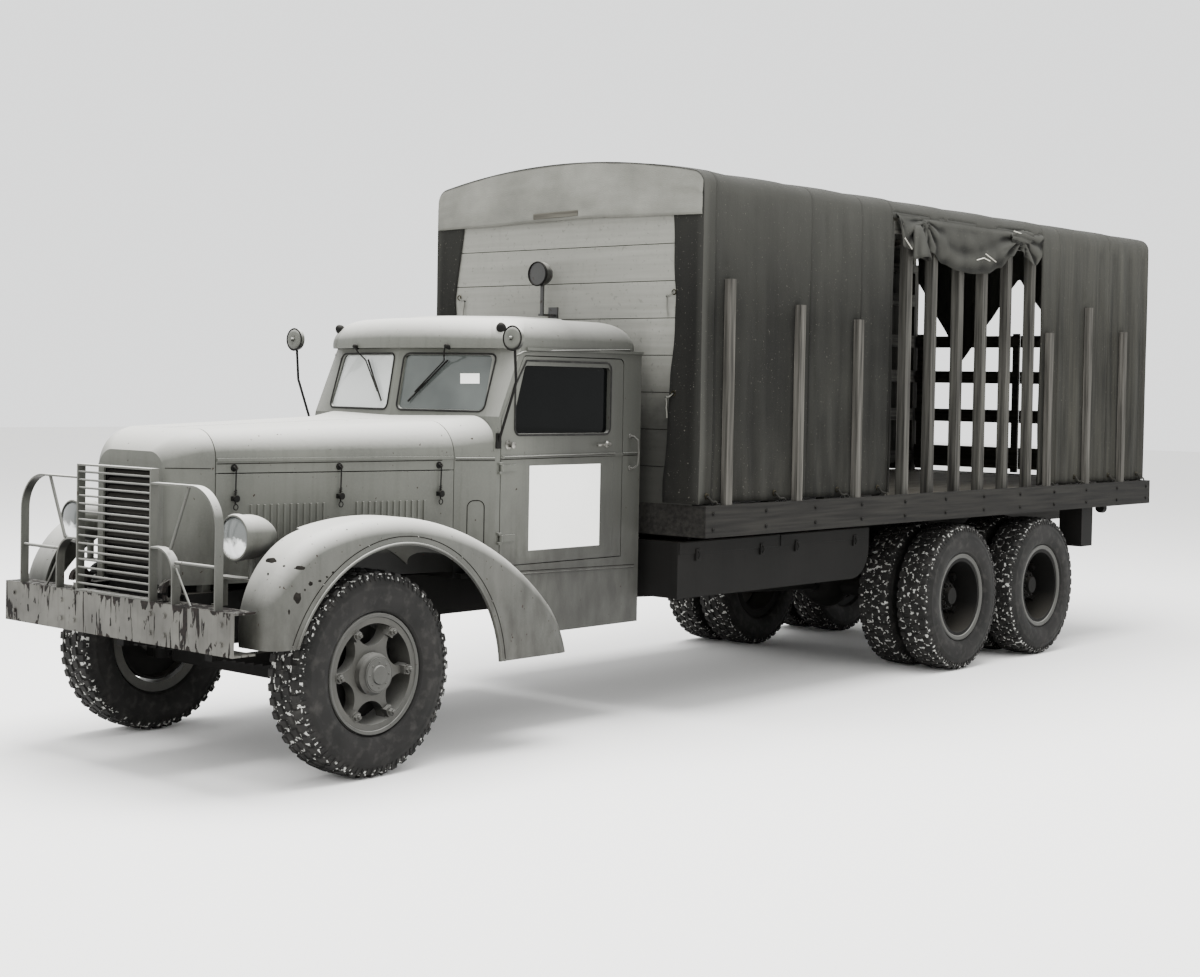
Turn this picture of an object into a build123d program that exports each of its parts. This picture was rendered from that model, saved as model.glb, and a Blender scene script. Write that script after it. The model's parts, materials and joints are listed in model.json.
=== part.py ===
from build123d import *
import math
import os

os.makedirs("parts", exist_ok=True)

# Six-wheeled cargo truck with a stake body under a canvas cover, sizes in millimetres.
# Front is -Y, the driver's side is +X, up is +Z, and the origin is on the ground at the middle.

# Overall layout
FRONT_Y = -5030
REAR_Y = 5030
FRONT_AXLE_Y = -4100
REAR_AXLE_YS = (1800, 3080)
GAP = 0.3
DOOR_GAP = 6

# Tyres and wheels
TYRE_R = 550
TYRE_W = 280
TREAD_W = 224
BEAD_R = 281
RIM_BASE_R = BEAD_R - 1
RIM_INNER_R = 268
RIM_FLANGE_R = 323
RIM_HALF_W = 104
BEAD_HALF_W = 92
FRONT_TYRE_X = 934
REAR_TYRE_XS = (750, 1080)
SPOKES = 6
FRONT_HUB_R = 112
REAR_HUB_R = 98

# Ladder frame
FRAME_HALF_W = 432
FRAME_LOW = 720
FRAME_TOP = 970
FLANGE_W = 80
FRAME_T = 8
FRAME_REAR_Y = 4760
CROSSMEMBER_YS = (-4790, -2500, -1300, 100, 1200, 2440, 3700, 4690)
CROSSMEMBER_W = 70

# Front bumper and brush guard
BUMPER_HALF_W = 1010
BUMPER_LOW = 716
BUMPER_H = 220
BUMPER_DEPTH = 145
BUMPER_T = 10
GUARD_DEPTH = 50
GUARD_BAR_T = 10
GUARD_PANEL_HALF_W = 330
GUARD_TOP = 1622
GUARD_WING_TOP = 1552
GUARD_WING_HALF_W = 868
GUARD_WING_R = 200
GUARD_INNER_TOP = 1222
GUARD_INNER_HALF_W = 520
GUARD_INNER_R = 130
GUARD_RODS = 15
GUARD_ROD_R = 6

# Nose, hood and cowl
BELT_Z = 1665
HOOD_SEAM_Z = 1590
HOOD_LOW = 1010
SHEET = 12
NOSE_Y = -4920
NOSE_SEAM_Y = -4690
HOOD_REAR_Y = -3190
NOSE_HALF_W = 290
NOSE_TOP = 1705
HOOD_FRONT_HALF_W = 430
HOOD_FRONT_TOP = 1826
HOOD_REAR_HALF_W = 712
HOOD_REAR_TOP = 1872
GRILLE_HALF_W = 240
GRILLE_LOW = 1010
GRILLE_TOP = 1610
GRILLE_PITCH = 42
LOUVRE_PITCH = 40
LOUVRE_LOW = 1240
LOUVRE_TOP = 1425

# Cab
CAB_HALF_W = 800
CAB_WALL = 50
CAB_FRONT_Y = -2930
CAB_REAR_Y = -1600
SILL_Z = FRAME_TOP + GAP
SKIRT_Z = 606
BELT_RIB = 8
GUTTER_Z = 2300
ROOF_Z = 2505
COWL_TOP = 1885
DOOR_FRONT_Y = -2890
DOOR_REAR_Y = -1780
DOOR_LOW = 1030
DOOR_TOP = 2256
WINDOW_LOW = 1800
WINDOW_TOP = 2222
GLASS_T = 6

# Front fenders
FENDER_IN_X = 655
FENDER_OUT_X = 1118
FENDER_T = 8
FENDER_ROLL = 110
FENDER_INNER_ROLL = 200
FENDER_LOBE_X = 865

# Cargo bed
BED_FRONT_Y = -1460
BED_HALF_W = 1220
RAIL_LOW = 1150
RAIL_TOP = 1350
RAIL_T = 50
PLANK_T = 45
FLOOR_TOP = 1342
SILL_W = 90
CROSS_SILL_YS = [BED_FRONT_Y + 250 + 560 * i for i in range(11)]

# Stake racks, bulkhead and canvas
POST_D = 65
POST_W = 72
RACK_OUT_X = 1150
RACK_TOP = 3300
TOP_RAIL_H = 80
BOARD_T = 24
BOARD_H = 112
BOARD_ZS = (1420, 1822, 2182, 2512, 2900)
POST_YS = (-1330, -640, 10, 720)
SLAT_YS = (1035, 1390, 1780, 2145, 2530, 2920)
REAR_POST_YS = (3600, 4300, 4940)
CANVAS_T = 10
CANVAS_HALF_W = 1172
CANVAS_LOW = 1372
CANVAS_FRONT_Y = -1472
CANVAS_REAR_Y = 5010
CANVAS_SHOULDER_Z = 3455
CANVAS_CROWN_Z = 3572
CANVAS_OPEN_Y = (770, 3010)
BULKHEAD_T = 40
BULKHEAD_TOP = 3290
PLANK_H = 236

pieces = {}


def keep(builder, label):
    """Store a finished builder's part under its node name."""
    builder.part.label = label
    pieces[label] = builder.part


def box(x, y, z):
    """A plain block given by its low and high limits, added to the builder in use."""
    with Locations(((x[0] + x[1]) / 2, (y[0] + y[1]) / 2, (z[0] + z[1]) / 2)):
        Box(abs(x[1] - x[0]), abs(y[1] - y[0]), abs(z[1] - z[0]))


def cut_box(x, y, z):
    """The same block taken away from the builder in use."""
    with Locations(((x[0] + x[1]) / 2, (y[0] + y[1]) / 2, (z[0] + z[1]) / 2)):
        Box(abs(x[1] - x[0]), abs(y[1] - y[0]), abs(z[1] - z[0]), mode=Mode.SUBTRACT)


def rod(start, end, radius):
    """A round bar between two points."""
    path = Vector(*end) - Vector(*start)
    middle = (Vector(*end) + Vector(*start)) * 0.5
    with Locations(Plane(origin=middle, z_dir=path.normalized()).location):
        Cylinder(radius, path.length)


def lathe(points, x=0, y=0, z=0, mode=Mode.ADD):
    """Turn an outline of (along X, radius) points about the X axis through (x, y, z)."""
    with BuildSketch(Plane(origin=(x, y, z), x_dir=(1, 0, 0), z_dir=(0, -1, 0))) as outline:
        with BuildLine():
            Polyline(*points, close=True)
        make_face()
    revolve(outline.sketch, axis=Axis((x, y, z), (1, 0, 0)), mode=mode)


# Ladder frame: the two channel rails
with BuildPart() as frame:
    for side in (-1, 1):
        with BuildSketch(Plane.XZ.offset(-(FRONT_Y + BUMPER_DEPTH))):
            web = side * (FRAME_HALF_W - FRAME_T / 2)
            mid = (FRAME_LOW + FRAME_TOP) / 2
            with Locations((web, mid)):
                Rectangle(FRAME_T, FRAME_TOP - FRAME_LOW)
            for z in (FRAME_LOW + FRAME_T / 2, FRAME_TOP - FRAME_T / 2):
                with Locations((side * (FRAME_HALF_W - FLANGE_W / 2), z)):
                    Rectangle(FLANGE_W, FRAME_T)
        extrude(amount=-(FRAME_REAR_Y - FRONT_Y - BUMPER_DEPTH))
keep(frame, "frame")

# Crossmembers: shallow pressed channels fitted between the webs of the rails
with BuildPart() as crossmembers:
    inner = FRAME_HALF_W - FRAME_T - GAP
    for y in CROSSMEMBER_YS:
        near = (y - CROSSMEMBER_W / 2, y + CROSSMEMBER_W / 2)
        box((-inner, inner), near, (FRAME_LOW + 40, FRAME_TOP - 40))
        cut_box(
            (-inner + 20, inner - 20), (near[0] + FRAME_T, near[1] + 1), (FRAME_LOW + 48, FRAME_TOP - 48)
        )
keep(crossmembers, "crossmembers")

# Front bumper: a deep channel open to the rear, with two tow hooks on its top flange
with BuildPart() as bumper:
    with BuildSketch(Plane.YZ.offset(-BUMPER_HALF_W)):
        with BuildLine():
            Polyline(
                (FRONT_Y, BUMPER_LOW),
                (FRONT_Y + BUMPER_DEPTH, BUMPER_LOW),
                (FRONT_Y + BUMPER_DEPTH, BUMPER_LOW + BUMPER_T),
                (FRONT_Y + BUMPER_T, BUMPER_LOW + BUMPER_T),
                (FRONT_Y + BUMPER_T, BUMPER_LOW + BUMPER_H - BUMPER_T),
                (FRONT_Y + BUMPER_DEPTH, BUMPER_LOW + BUMPER_H - BUMPER_T),
                (FRONT_Y + BUMPER_DEPTH, BUMPER_LOW + BUMPER_H),
                (FRONT_Y, BUMPER_LOW + BUMPER_H),
                close=True,
            )
        make_face()
    extrude(amount=2 * BUMPER_HALF_W)
    bumper_top = BUMPER_LOW + BUMPER_H
    HOOK_X, HOOK_R, HOOK_BAR, HOOK_Y = 400, 62, 18, FRONT_Y + 75
    for side in (-1, 1):
        with BuildSketch(Plane.YZ.offset(side * HOOK_X - HOOK_BAR)):
            with Locations((HOOK_Y, bumper_top + HOOK_R - 8)):
                Circle(HOOK_R)
                Circle(HOOK_R - 26, mode=Mode.SUBTRACT)
            with Locations((HOOK_Y - HOOK_R, bumper_top + HOOK_R / 2 - 2)):
                Rectangle(HOOK_R, 42, mode=Mode.SUBTRACT)
        extrude(amount=2 * HOOK_BAR)
    for side in (-1, 1):
        cut_box(
            (side * HOOK_X - 30, side * HOOK_X + 30),
            (FRONT_Y + BUMPER_T, HOOK_Y + 80),
            (bumper_top - 60, bumper_top - BUMPER_T),
        )
keep(bumper, "front_bumper")

# Brush guard: flat bars on edge, with a ladder of rods before the radiator and arched wings
with BuildPart() as guard:
    guard_y = (FRONT_Y, FRONT_Y + GUARD_DEPTH)
    guard_plane = Plane.XZ.offset(-guard_y[0])
    with BuildSketch(guard_plane):
        mid = (bumper_top + GUARD_TOP) / 2
        with Locations((0, mid)):
            Rectangle(2 * GUARD_PANEL_HALF_W, GUARD_TOP - bumper_top)
            Rectangle(
                2 * (GUARD_PANEL_HALF_W - GUARD_BAR_T),
                GUARD_TOP - bumper_top - 2 * GUARD_BAR_T,
                mode=Mode.SUBTRACT,
            )
    extrude(amount=-GUARD_DEPTH)
    for half_w, top, radius in (
        (GUARD_WING_HALF_W, GUARD_WING_TOP, GUARD_WING_R),
        (GUARD_INNER_HALF_W, GUARD_INNER_TOP, GUARD_INNER_R),
    ):
        for side in (-1, 1):
            with BuildSketch(guard_plane):
                with BuildLine():
                    FilletPolyline(
                        (side * (GUARD_PANEL_HALF_W - 1), top - GUARD_BAR_T / 2),
                        (side * (half_w - GUARD_BAR_T / 2), top - GUARD_BAR_T / 2),
                        (side * (half_w - GUARD_BAR_T / 2), bumper_top),
                        radius=radius,
                    )
                    offset(amount=GUARD_BAR_T / 2, side=Side.BOTH)
                make_face()
            extrude(amount=-GUARD_DEPTH)
    rod_y = sum(guard_y) / 2
    for i in range(GUARD_RODS):
        z = bumper_top + (GUARD_TOP - bumper_top) * (i + 1) / (GUARD_RODS + 1)
        reach = GUARD_PANEL_HALF_W - GUARD_BAR_T / 2
        rod((-reach, guard_y[0] + 12, z), (reach, guard_y[0] + 12, z), GUARD_ROD_R)
    for side in (-1, 1):
        tie_z = 1150
        rod((side * 620, rod_y, GUARD_WING_TOP - 6), (side * 470, rod_y, GUARD_INNER_TOP - 8), 9)
        rod(
            (side * (GUARD_INNER_HALF_W - 6), rod_y, tie_z),
            (side * (GUARD_WING_HALF_W - 6), rod_y, tie_z),
            9,
        )
        rod((side * (GUARD_INNER_HALF_W - 4), rod_y, tie_z - 30), (side * 640, rod_y, bumper_top + 1), 6)
    cut_box((-1000, 1000), guard_y, (bumper_top - 50, bumper_top))
keep(guard, "brush_guard")


def arch(y, half_w, low, top, radius, inset=0):
    """Sketch of the hood's cross-section at a station: upright sides and a rounded top."""
    w, t, r = half_w - inset, top - inset, radius - inset
    with BuildSketch(Plane.XZ.offset(-y)) as section:
        with BuildLine():
            Line((-w, low), (w, low))
            Line((w, low), (w, t - r))
            RadiusArc((w, t - r), (w - r, t), -r)
            Line((w - r, t), (-w + r, t))
            RadiusArc((-w + r, t), (-w, t - r), -r)
            Line((-w, t - r), (-w, low))
        make_face()
    return section.sketch


def hood_block(stations, low, inset=0):
    """Loft through hood stations, each (y, half width, top, corner radius)."""
    sections = [arch(y, w, low, t, r, inset) for y, w, t, r in stations]
    with BuildPart() as block:
        loft(sections)
    return block.part


def ledge_ring(stations, sheet=6):
    """Open ring that lies just inside the hood sheet between two stations."""
    outer = hood_block(stations, HOOD_LOW, SHEET + GAP)
    inner_stations = [(y + d, w, t, r) for d, (y, w, t, r) in zip((-1, 1), stations)]
    return outer - hood_block(inner_stations, HOOD_LOW - 1, SHEET + GAP + sheet)


def hood_station(y):
    """Half width, top and corner radius of the hood at a station, between its two ends."""
    share = (y - NOSE_SEAM_Y - DOOR_GAP / 2) / (HOOD_REAR_Y - NOSE_SEAM_Y - DOOR_GAP)
    ends = zip((HOOD_FRONT_HALF_W, HOOD_FRONT_TOP, 160), (HOOD_REAR_HALF_W, HOOD_REAR_TOP, 205))
    return (y, *[a + (b - a) * share for a, b in ends])


nose_stations = (
    (NOSE_Y, NOSE_HALF_W, NOSE_TOP, 120),
    (NOSE_Y + 95, 385, 1786, 140),
    (NOSE_SEAM_Y - DOOR_GAP / 2, HOOD_FRONT_HALF_W, HOOD_FRONT_TOP, 160),
)
hood_stations = (
    (NOSE_SEAM_Y + DOOR_GAP / 2, HOOD_FRONT_HALF_W, HOOD_FRONT_TOP, 160),
    (HOOD_REAR_Y - DOOR_GAP / 2, HOOD_REAR_HALF_W, HOOD_REAR_TOP, 205),
)

# Radiator shell: a rounded nose, open in front for the grille and open behind
with BuildPart() as nose:
    add(hood_block(nose_stations, HOOD_LOW))
    inside = [(y + (SHEET if i == 0 else i - 1), w, t, r) for i, (y, w, t, r) in enumerate(nose_stations)]
    add(hood_block(inside, HOOD_LOW - 1, SHEET), mode=Mode.SUBTRACT)
    cut_box((-GRILLE_HALF_W, GRILLE_HALF_W), (NOSE_Y - 10, NOSE_Y + SHEET + 10), (HOOD_LOW - 5, GRILLE_TOP))
    add(ledge_ring([hood_station(NOSE_SEAM_Y - 30), hood_station(NOSE_SEAM_Y + 25)]))
    for side in (-1, 1):
        box((side * 360, side * 409), (NOSE_SEAM_Y - 60, NOSE_SEAM_Y - 8), (FRAME_TOP + GAP, HOOD_LOW + 50))
keep(nose, "nose_shell")

# Radiator core with its louvred grille in front
with BuildPart() as radiator:
    core_y = (NOSE_Y + 60, NOSE_Y + 140)
    box((-262, 262), core_y, (FRAME_TOP - 40 + GAP, GRILLE_TOP - 10))
    for side in (-1, 1):
        box(
            (side * 262, side * (GRILLE_HALF_W - 12)),
            (NOSE_Y + 20, core_y[0]),
            (GRILLE_LOW, GRILLE_TOP - 10),
        )
    count = int((GRILLE_TOP - GRILLE_LOW) / GRILLE_PITCH)
    for i in range(count):
        z = GRILLE_LOW + GRILLE_PITCH * (i + 0.5)
        with BuildSketch(Plane.YZ.offset(-GRILLE_HALF_W + 8)):
            with BuildLine():
                Polyline(
                    (NOSE_Y + 16, z),
                    (NOSE_Y + 34, z + 16),
                    (NOSE_Y + 34, z + 11),
                    (NOSE_Y + 16, z - 5),
                    close=True,
                )
            make_face()
        extrude(amount=2 * (GRILLE_HALF_W - 8))
keep(radiator, "radiator_grille")

# Hood lids: two halves hinged along the top centre line
hood_outer = hood_block(hood_stations, HOOD_LOW)
hood_inner = hood_block(
    [(y + d, w, t, r) for d, (y, w, t, r) in zip((-1, 1), hood_stations)], HOOD_LOW - 1, SHEET
)
STRIP_HALF_W = 14
LID_GAP = 6
HINGE_TABS = (0.12, 0.5, 0.88)
hinge_slope = (HOOD_REAR_TOP - HOOD_FRONT_TOP) / (HOOD_REAR_Y - NOSE_SEAM_Y)
for side, label in ((1, "hood_left"), (-1, "hood_right")):
    with BuildPart() as lid:
        add(hood_outer)
        add(hood_inner, mode=Mode.SUBTRACT)
        cut_box((-2000, 2000), (NOSE_Y, 0), (0, HOOD_SEAM_Z + DOOR_GAP))
        cut_box((-side * 2000, side * (STRIP_HALF_W + LID_GAP)), (NOSE_Y, 0), (0, 3000))
        for share in HINGE_TABS:
            y = NOSE_SEAM_Y + share * (HOOD_REAR_Y - NOSE_SEAM_Y)
            z = HOOD_FRONT_TOP + hinge_slope * (y - NOSE_SEAM_Y)
            box(
                (side * (STRIP_HALF_W + GAP), side * (STRIP_HALF_W + LID_GAP + 2)),
                (y - 30, y + 30),
                (z - 10, z - 1),
            )
        middle_y = (NOSE_SEAM_Y + HOOD_REAR_Y) / 2
        run = math.hypot(HOOD_REAR_Y - NOSE_SEAM_Y, HOOD_REAR_HALF_W - HOOD_FRONT_HALF_W) - 2 * DOOR_GAP
        turn = math.degrees(math.atan2(HOOD_REAR_HALF_W - HOOD_FRONT_HALF_W, HOOD_REAR_Y - NOSE_SEAM_Y))
        with Locations(
            Location(
                (side * (HOOD_FRONT_HALF_W + HOOD_REAR_HALF_W) / 2, middle_y, BELT_Z),
                (0, 0, -side * turn),
            )
        ):
            Box(2 * BELT_RIB, run, 2 * BELT_RIB)
    keep(lid, label)

# Hood side panels with two groups of raised louvres
with BuildPart() as hood_sides:
    add(hood_outer)
    add(hood_inner, mode=Mode.SUBTRACT)
    cut_box((-2000, 2000), (NOSE_Y, 0), (HOOD_SEAM_Z, 3000))
    slope = (HOOD_REAR_HALF_W - HOOD_FRONT_HALF_W) / (HOOD_REAR_Y - NOSE_SEAM_Y)
    for first_y in (-4480, -3830):
        for i in range(12):
            y = first_y + LOUVRE_PITCH * i
            x = HOOD_FRONT_HALF_W + slope * (y - NOSE_SEAM_Y)
            for side in (-1, 1):
                with Locations((side * x, y, (LOUVRE_LOW + LOUVRE_TOP) / 2)):
                    Box(16, 14, LOUVRE_TOP - LOUVRE_LOW)
keep(hood_sides, "hood_sides")


# Cab front outline by height: windshield centre, pane edge and corner, along Y
CAB_FRONTS = ((1700, -3060, -2955, -2950), (1900, -3025, -2915, -2915), (GUTTER_Z, -2950, -2785, -2735))


def cab_plan(z, centre_y, pane_y, corner_y, inset=0):
    """Plan outline of the upper cab at a height: a shallow V of windshield between the pillars."""
    w = CAB_HALF_W - inset
    with BuildSketch(Plane.XY.offset(z)) as outline:
        with BuildLine():
            Polyline(
                (0, centre_y + inset),
                (w - 110, pane_y + inset),
                (w, corner_y + inset),
                (w, CAB_REAR_Y - inset),
                (-w, CAB_REAR_Y - inset),
                (-w, corner_y + inset),
                (-w + 110, pane_y + inset),
                close=True,
            )
        make_face()
    return outline.sketch


# Roof dome as (height above the gutter, how far its outline has drawn in)
ROOF_STEPS = ((0, 0), (90, 14), (150, 62), (188, 165), (205, 330))
ROOF_FRONT_Y = -2978
ROOF_CORNER_R = 130


def roof_plan(z, inset):
    """Plan outline of the roof at a height: a bowed front and rounded corners."""
    w, r = CAB_HALF_W - inset, ROOF_CORNER_R
    front, rear = ROOF_FRONT_Y + inset, CAB_REAR_Y - inset
    with BuildSketch(Plane.XY.offset(z)) as outline:
        with BuildLine():
            ThreePointArc((-w + r, front + 125), (0, front), (w - r, front + 125))
            ThreePointArc((w - r, front + 125), (w - r * 0.3, front + 172), (w, front + 270))
            Line((w, front + 270), (w, rear - r))
            ThreePointArc((w, rear - r), (w - r * 0.29, rear - r * 0.29), (w - r, rear))
            Line((w - r, rear), (-w + r, rear))
            ThreePointArc((-w + r, rear), (-w + r * 0.29, rear - r * 0.29), (-w, rear - r))
            Line((-w, rear - r), (-w, front + 270))
            ThreePointArc((-w, front + 270), (-w + r * 0.3, front + 172), (-w + r, front + 125))
        make_face()
    return outline.sketch


def roof_block(inset=0):
    """Rounded roof above the gutter, drawn in step by step towards its top."""
    low = GUTTER_Z - (1 if inset else 0)
    rise = (ROOF_Z - inset - low) / ROOF_STEPS[-1][0]
    return loft([roof_plan(low + height * rise, inset + drawn) for height, drawn in ROOF_STEPS])


def cab_block(inset=0, lower=0):
    """The whole cab volume above the belt, shrunk by the wall for the inside."""
    with BuildPart() as block:
        loft(
            [cab_plan(z - (lower if i == 0 else 0), *ys, inset) for i, (z, *ys) in enumerate(CAB_FRONTS)],
            ruled=True,
        )
        add(roof_block(inset))
    return block.part


def door_outline(gap=0):
    """Side outline of the door, on the YZ plane, grown or shrunk by a gap."""
    with BuildSketch(Plane.YZ) as outline:
        with BuildLine():
            Polyline(
                (DOOR_FRONT_Y - gap, DOOR_LOW - gap),
                (DOOR_FRONT_Y - gap, 1880),
                (DOOR_FRONT_Y + 190 - gap, DOOR_TOP + gap),
                (DOOR_REAR_Y + gap, DOOR_TOP + gap),
                (DOOR_REAR_Y + gap, DOOR_LOW - gap),
                close=True,
            )
        make_face()
        fillet(outline.vertices().group_by(Axis.Y)[-1], 40)
    return outline.sketch


def door_window(grow=0):
    """Side window outline in the door."""
    with BuildSketch(Plane.YZ) as outline:
        with BuildLine():
            Polyline(
                (DOOR_FRONT_Y + 121 - grow, WINDOW_LOW - grow),
                (DOOR_FRONT_Y + 121 - grow, 1955),
                (DOOR_FRONT_Y + 196 - grow, WINDOW_TOP - 20 + grow),
                (DOOR_REAR_Y - 130 + grow, WINDOW_TOP - 20 + grow),
                (DOOR_REAR_Y - 130 + grow, WINDOW_LOW - grow),
                close=True,
            )
        make_face()
        fillet(outline.vertices(), 26)
    return outline.sketch


PANE_X = (48, 664)
PANE_Z = (1934, 2258)


def pane_block(side, grow=0):
    """Block as wide and tall as one windshield pane, run through the cab's front."""
    with BuildSketch(Plane.XZ.offset(2600)) as outline:
        with BuildLine():
            Polyline(
                (side * (PANE_X[0] - grow), PANE_Z[0] - grow),
                (side * (PANE_X[1] + 6 + grow), PANE_Z[0] - grow),
                (side * (PANE_X[1] - 20 + grow), PANE_Z[1] + grow),
                (side * (PANE_X[0] - grow), PANE_Z[1] + grow),
                close=True,
            )
        make_face()
        fillet(outline.vertices(), 30)
    return extrude(outline.sketch, amount=600, mode=Mode.PRIVATE)


DOOR_HINGE_X, DOOR_HINGE_Y = CAB_HALF_W + 12, DOOR_FRONT_Y - 3
DOOR_HINGE_ZS = (1190, 1600)
HINGE_PIN_R = 5
cab_outer = cab_block()
cab_inner = cab_block(CAB_WALL, 10)

# Cab shell: hollow, with door openings, a split windshield and a rear window
with BuildPart() as cab:
    add(cab_outer)
    box((-CAB_HALF_W, CAB_HALF_W), (CAB_FRONT_Y, CAB_REAR_Y), (SILL_Z, 1702))
    inside_w = CAB_HALF_W - CAB_WALL
    add(cab_inner, mode=Mode.SUBTRACT)
    cut_box((-inside_w, inside_w), (CAB_FRONT_Y - 500, CAB_REAR_Y - CAB_WALL), (SILL_Z + 30, 1720))
    for side in (-1, 1):
        add(extrude(door_outline(DOOR_GAP), amount=side * 900, mode=Mode.PRIVATE), mode=Mode.SUBTRACT)
        add(pane_block(side), mode=Mode.SUBTRACT)
    cut_box((-300, 300), (CAB_REAR_Y - 100, CAB_REAR_Y + 10), (1960, 2190))
    box((-CAB_HALF_W, CAB_HALF_W), (DOOR_REAR_Y + 20, CAB_REAR_Y), (SKIRT_Z, SILL_Z))
    box((-CAB_HALF_W, CAB_HALF_W), (DOOR_FRONT_Y, DOOR_REAR_Y + 20), (SKIRT_Z, SILL_Z))
    cut_box((-CAB_HALF_W + 14, CAB_HALF_W - 14), (DOOR_FRONT_Y - 10, CAB_REAR_Y + 10), (SKIRT_Z - 1, SILL_Z))
    for side in (-1, 1):
        box(
            (side * (CAB_HALF_W - 4), side * (CAB_HALF_W + 16)),
            (-2690, CAB_REAR_Y),
            (GUTTER_Z - 8, GUTTER_Z + 8),
        )
        for z in DOOR_HINGE_ZS:
            for low in (z - 34, z + 20 + GAP):
                plate = (side * (CAB_HALF_W - 1), side * (DOOR_HINGE_X + 6))
                box(plate, (DOOR_HINGE_Y - 24, DOOR_HINGE_Y + 2), (low, low + 14 - GAP))
            with Locations((side * DOOR_HINGE_X, DOOR_HINGE_Y, z)):
                Cylinder(HINGE_PIN_R, 60)
keep(cab, "cab_shell")

# Doors, each with its hinge eyes and a frame round its window
for side, label in ((1, "door_left"), (-1, "door_right")):
    with BuildPart() as door:
        panel = extrude(door_outline(), amount=side * CAB_WALL, mode=Mode.PRIVATE)
        add(Location((side * (CAB_HALF_W - CAB_WALL), 0, 0)) * panel)
        hole = extrude(door_window(), amount=side * 900, mode=Mode.PRIVATE)
        add(hole, mode=Mode.SUBTRACT)
        box(
            (side * (CAB_HALF_W - 4), side * (CAB_HALF_W + BELT_RIB)),
            (DOOR_FRONT_Y + 4, DOOR_REAR_Y - 4),
            (BELT_Z - BELT_RIB, BELT_Z + BELT_RIB),
        )
        for z in DOOR_HINGE_ZS:
            strap = (side * (CAB_HALF_W - 1), side * (CAB_HALF_W + 6))
            box(strap, (DOOR_HINGE_Y + 4, DOOR_HINGE_Y + 130), (z - 20, z + 20))
            with Locations((side * DOOR_HINGE_X, DOOR_HINGE_Y, z)):
                Cylinder(11, 40)
                Cylinder(HINGE_PIN_R + GAP, 60, mode=Mode.SUBTRACT)
    keep(door, label)
    with BuildPart() as pane:
        glass = extrude(door_window(-GAP), amount=side * GLASS_T, mode=Mode.PRIVATE)
        add(Location((side * (CAB_HALF_W - 30), 0, 0)) * glass)
    keep(pane, label.replace("door", "door_glass"))

# Windshield panes and rear window glass
with BuildPart() as cab_glass:
    for side in (-1, 1):
        slab_outer = Location((0, 14, 0)) * cab_outer
        slab_inner = Location((0, 14 + GLASS_T, 0)) * cab_outer
        add((pane_block(side, -GAP) & slab_outer) - slab_inner)
    box((-300 + GAP, 300 - GAP), (CAB_REAR_Y - 28, CAB_REAR_Y - 22), (1960 + GAP, 2190 - GAP))
keep(cab_glass, "cab_glass")

# Cowl: carries the firewall and dash, from the hood's rear edge to the cab
with BuildPart() as cowl:
    cowl_stations = (
        (HOOD_REAR_Y + DOOR_GAP / 2, HOOD_REAR_HALF_W, HOOD_REAR_TOP, 205),
        (CAB_FRONT_Y - GAP, CAB_HALF_W, COWL_TOP + 18, 205),
    )
    add(hood_block(cowl_stations, SILL_Z))
    cowl_inside = [(y + d, w, t, r) for d, (y, w, t, r) in zip((24, 1), cowl_stations)]
    add(hood_block(cowl_inside, SILL_Z - 1, 20), mode=Mode.SUBTRACT)
    add(cab_outer, mode=Mode.SUBTRACT)
    add(ledge_ring([hood_station(HOOD_REAR_Y - 25), hood_station(HOOD_REAR_Y + 30)]))
    with BuildSketch(Plane.YZ.offset(-STRIP_HALF_W)):
        with BuildLine():
            Polyline(
                (NOSE_SEAM_Y, HOOD_FRONT_TOP),
                (HOOD_REAR_Y + 10, HOOD_REAR_TOP),
                (HOOD_REAR_Y + 10, HOOD_REAR_TOP - 11),
                (NOSE_SEAM_Y, HOOD_FRONT_TOP - 11),
                close=True,
            )
        make_face()
    extrude(amount=2 * STRIP_HALF_W)
    box((-770, 770), (HOOD_REAR_Y + 220, CAB_FRONT_Y - GAP), (1560, 1640))
    box((-CAB_HALF_W + 30, CAB_HALF_W - 30), (HOOD_REAR_Y + 12, CAB_FRONT_Y - GAP), (SILL_Z, SILL_Z + 28))
keep(cowl, "cowl")

# Bench seat with cushion and back
with BuildPart() as seat:
    with BuildSketch(Plane.YZ.offset(-620)):
        with BuildLine():
            Polyline(
                (-2230, 1220),
                (-1800, 1190),
                (-1720, 1780),
                (-1660, 1780),
                (-1660, SILL_Z + 30 + GAP),
                (-2180, SILL_Z + 30 + GAP),
                (-2230, 1100),
                close=True,
            )
        make_face()
    extrude(amount=1240)
    fillet(seat.edges().filter_by(Axis.X).sort_by(Axis.Z)[-2:], 25)
keep(seat, "seat")

# Steering wheel and column on the driver's side
with BuildPart() as steering:
    WHEEL_CENTRE, COLUMN_DIR = Vector(370, -2560, 1560), Vector(0, 0.62, 0.78)
    wheel_plane = Plane(origin=WHEEL_CENTRE, z_dir=COLUMN_DIR)
    with BuildSketch(Plane(
        origin=WHEEL_CENTRE + wheel_plane.x_dir * 215,
        x_dir=wheel_plane.x_dir,
        z_dir=wheel_plane.y_dir,
    )):
        Circle(13)
    revolve(axis=Axis(WHEEL_CENTRE, COLUMN_DIR))
    for turn in range(3):
        angle = math.radians(90 + 120 * turn)
        across = wheel_plane.x_dir * (210 * math.cos(angle))
        tip = WHEEL_CENTRE + across + wheel_plane.y_dir * (210 * math.sin(angle))
        rod(tuple(WHEEL_CENTRE), tuple(tip), 8)
    foot = WHEEL_CENTRE - COLUMN_DIR.normalized() * 696
    floor_z = SILL_Z + 28 + GAP
    with Locations((foot.X, foot.Y, floor_z + 5)):
        Cylinder(45, 10)
    rod(tuple(foot), tuple(WHEEL_CENTRE + COLUMN_DIR * 10), 22)
keep(steering, "steering_wheel")

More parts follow.
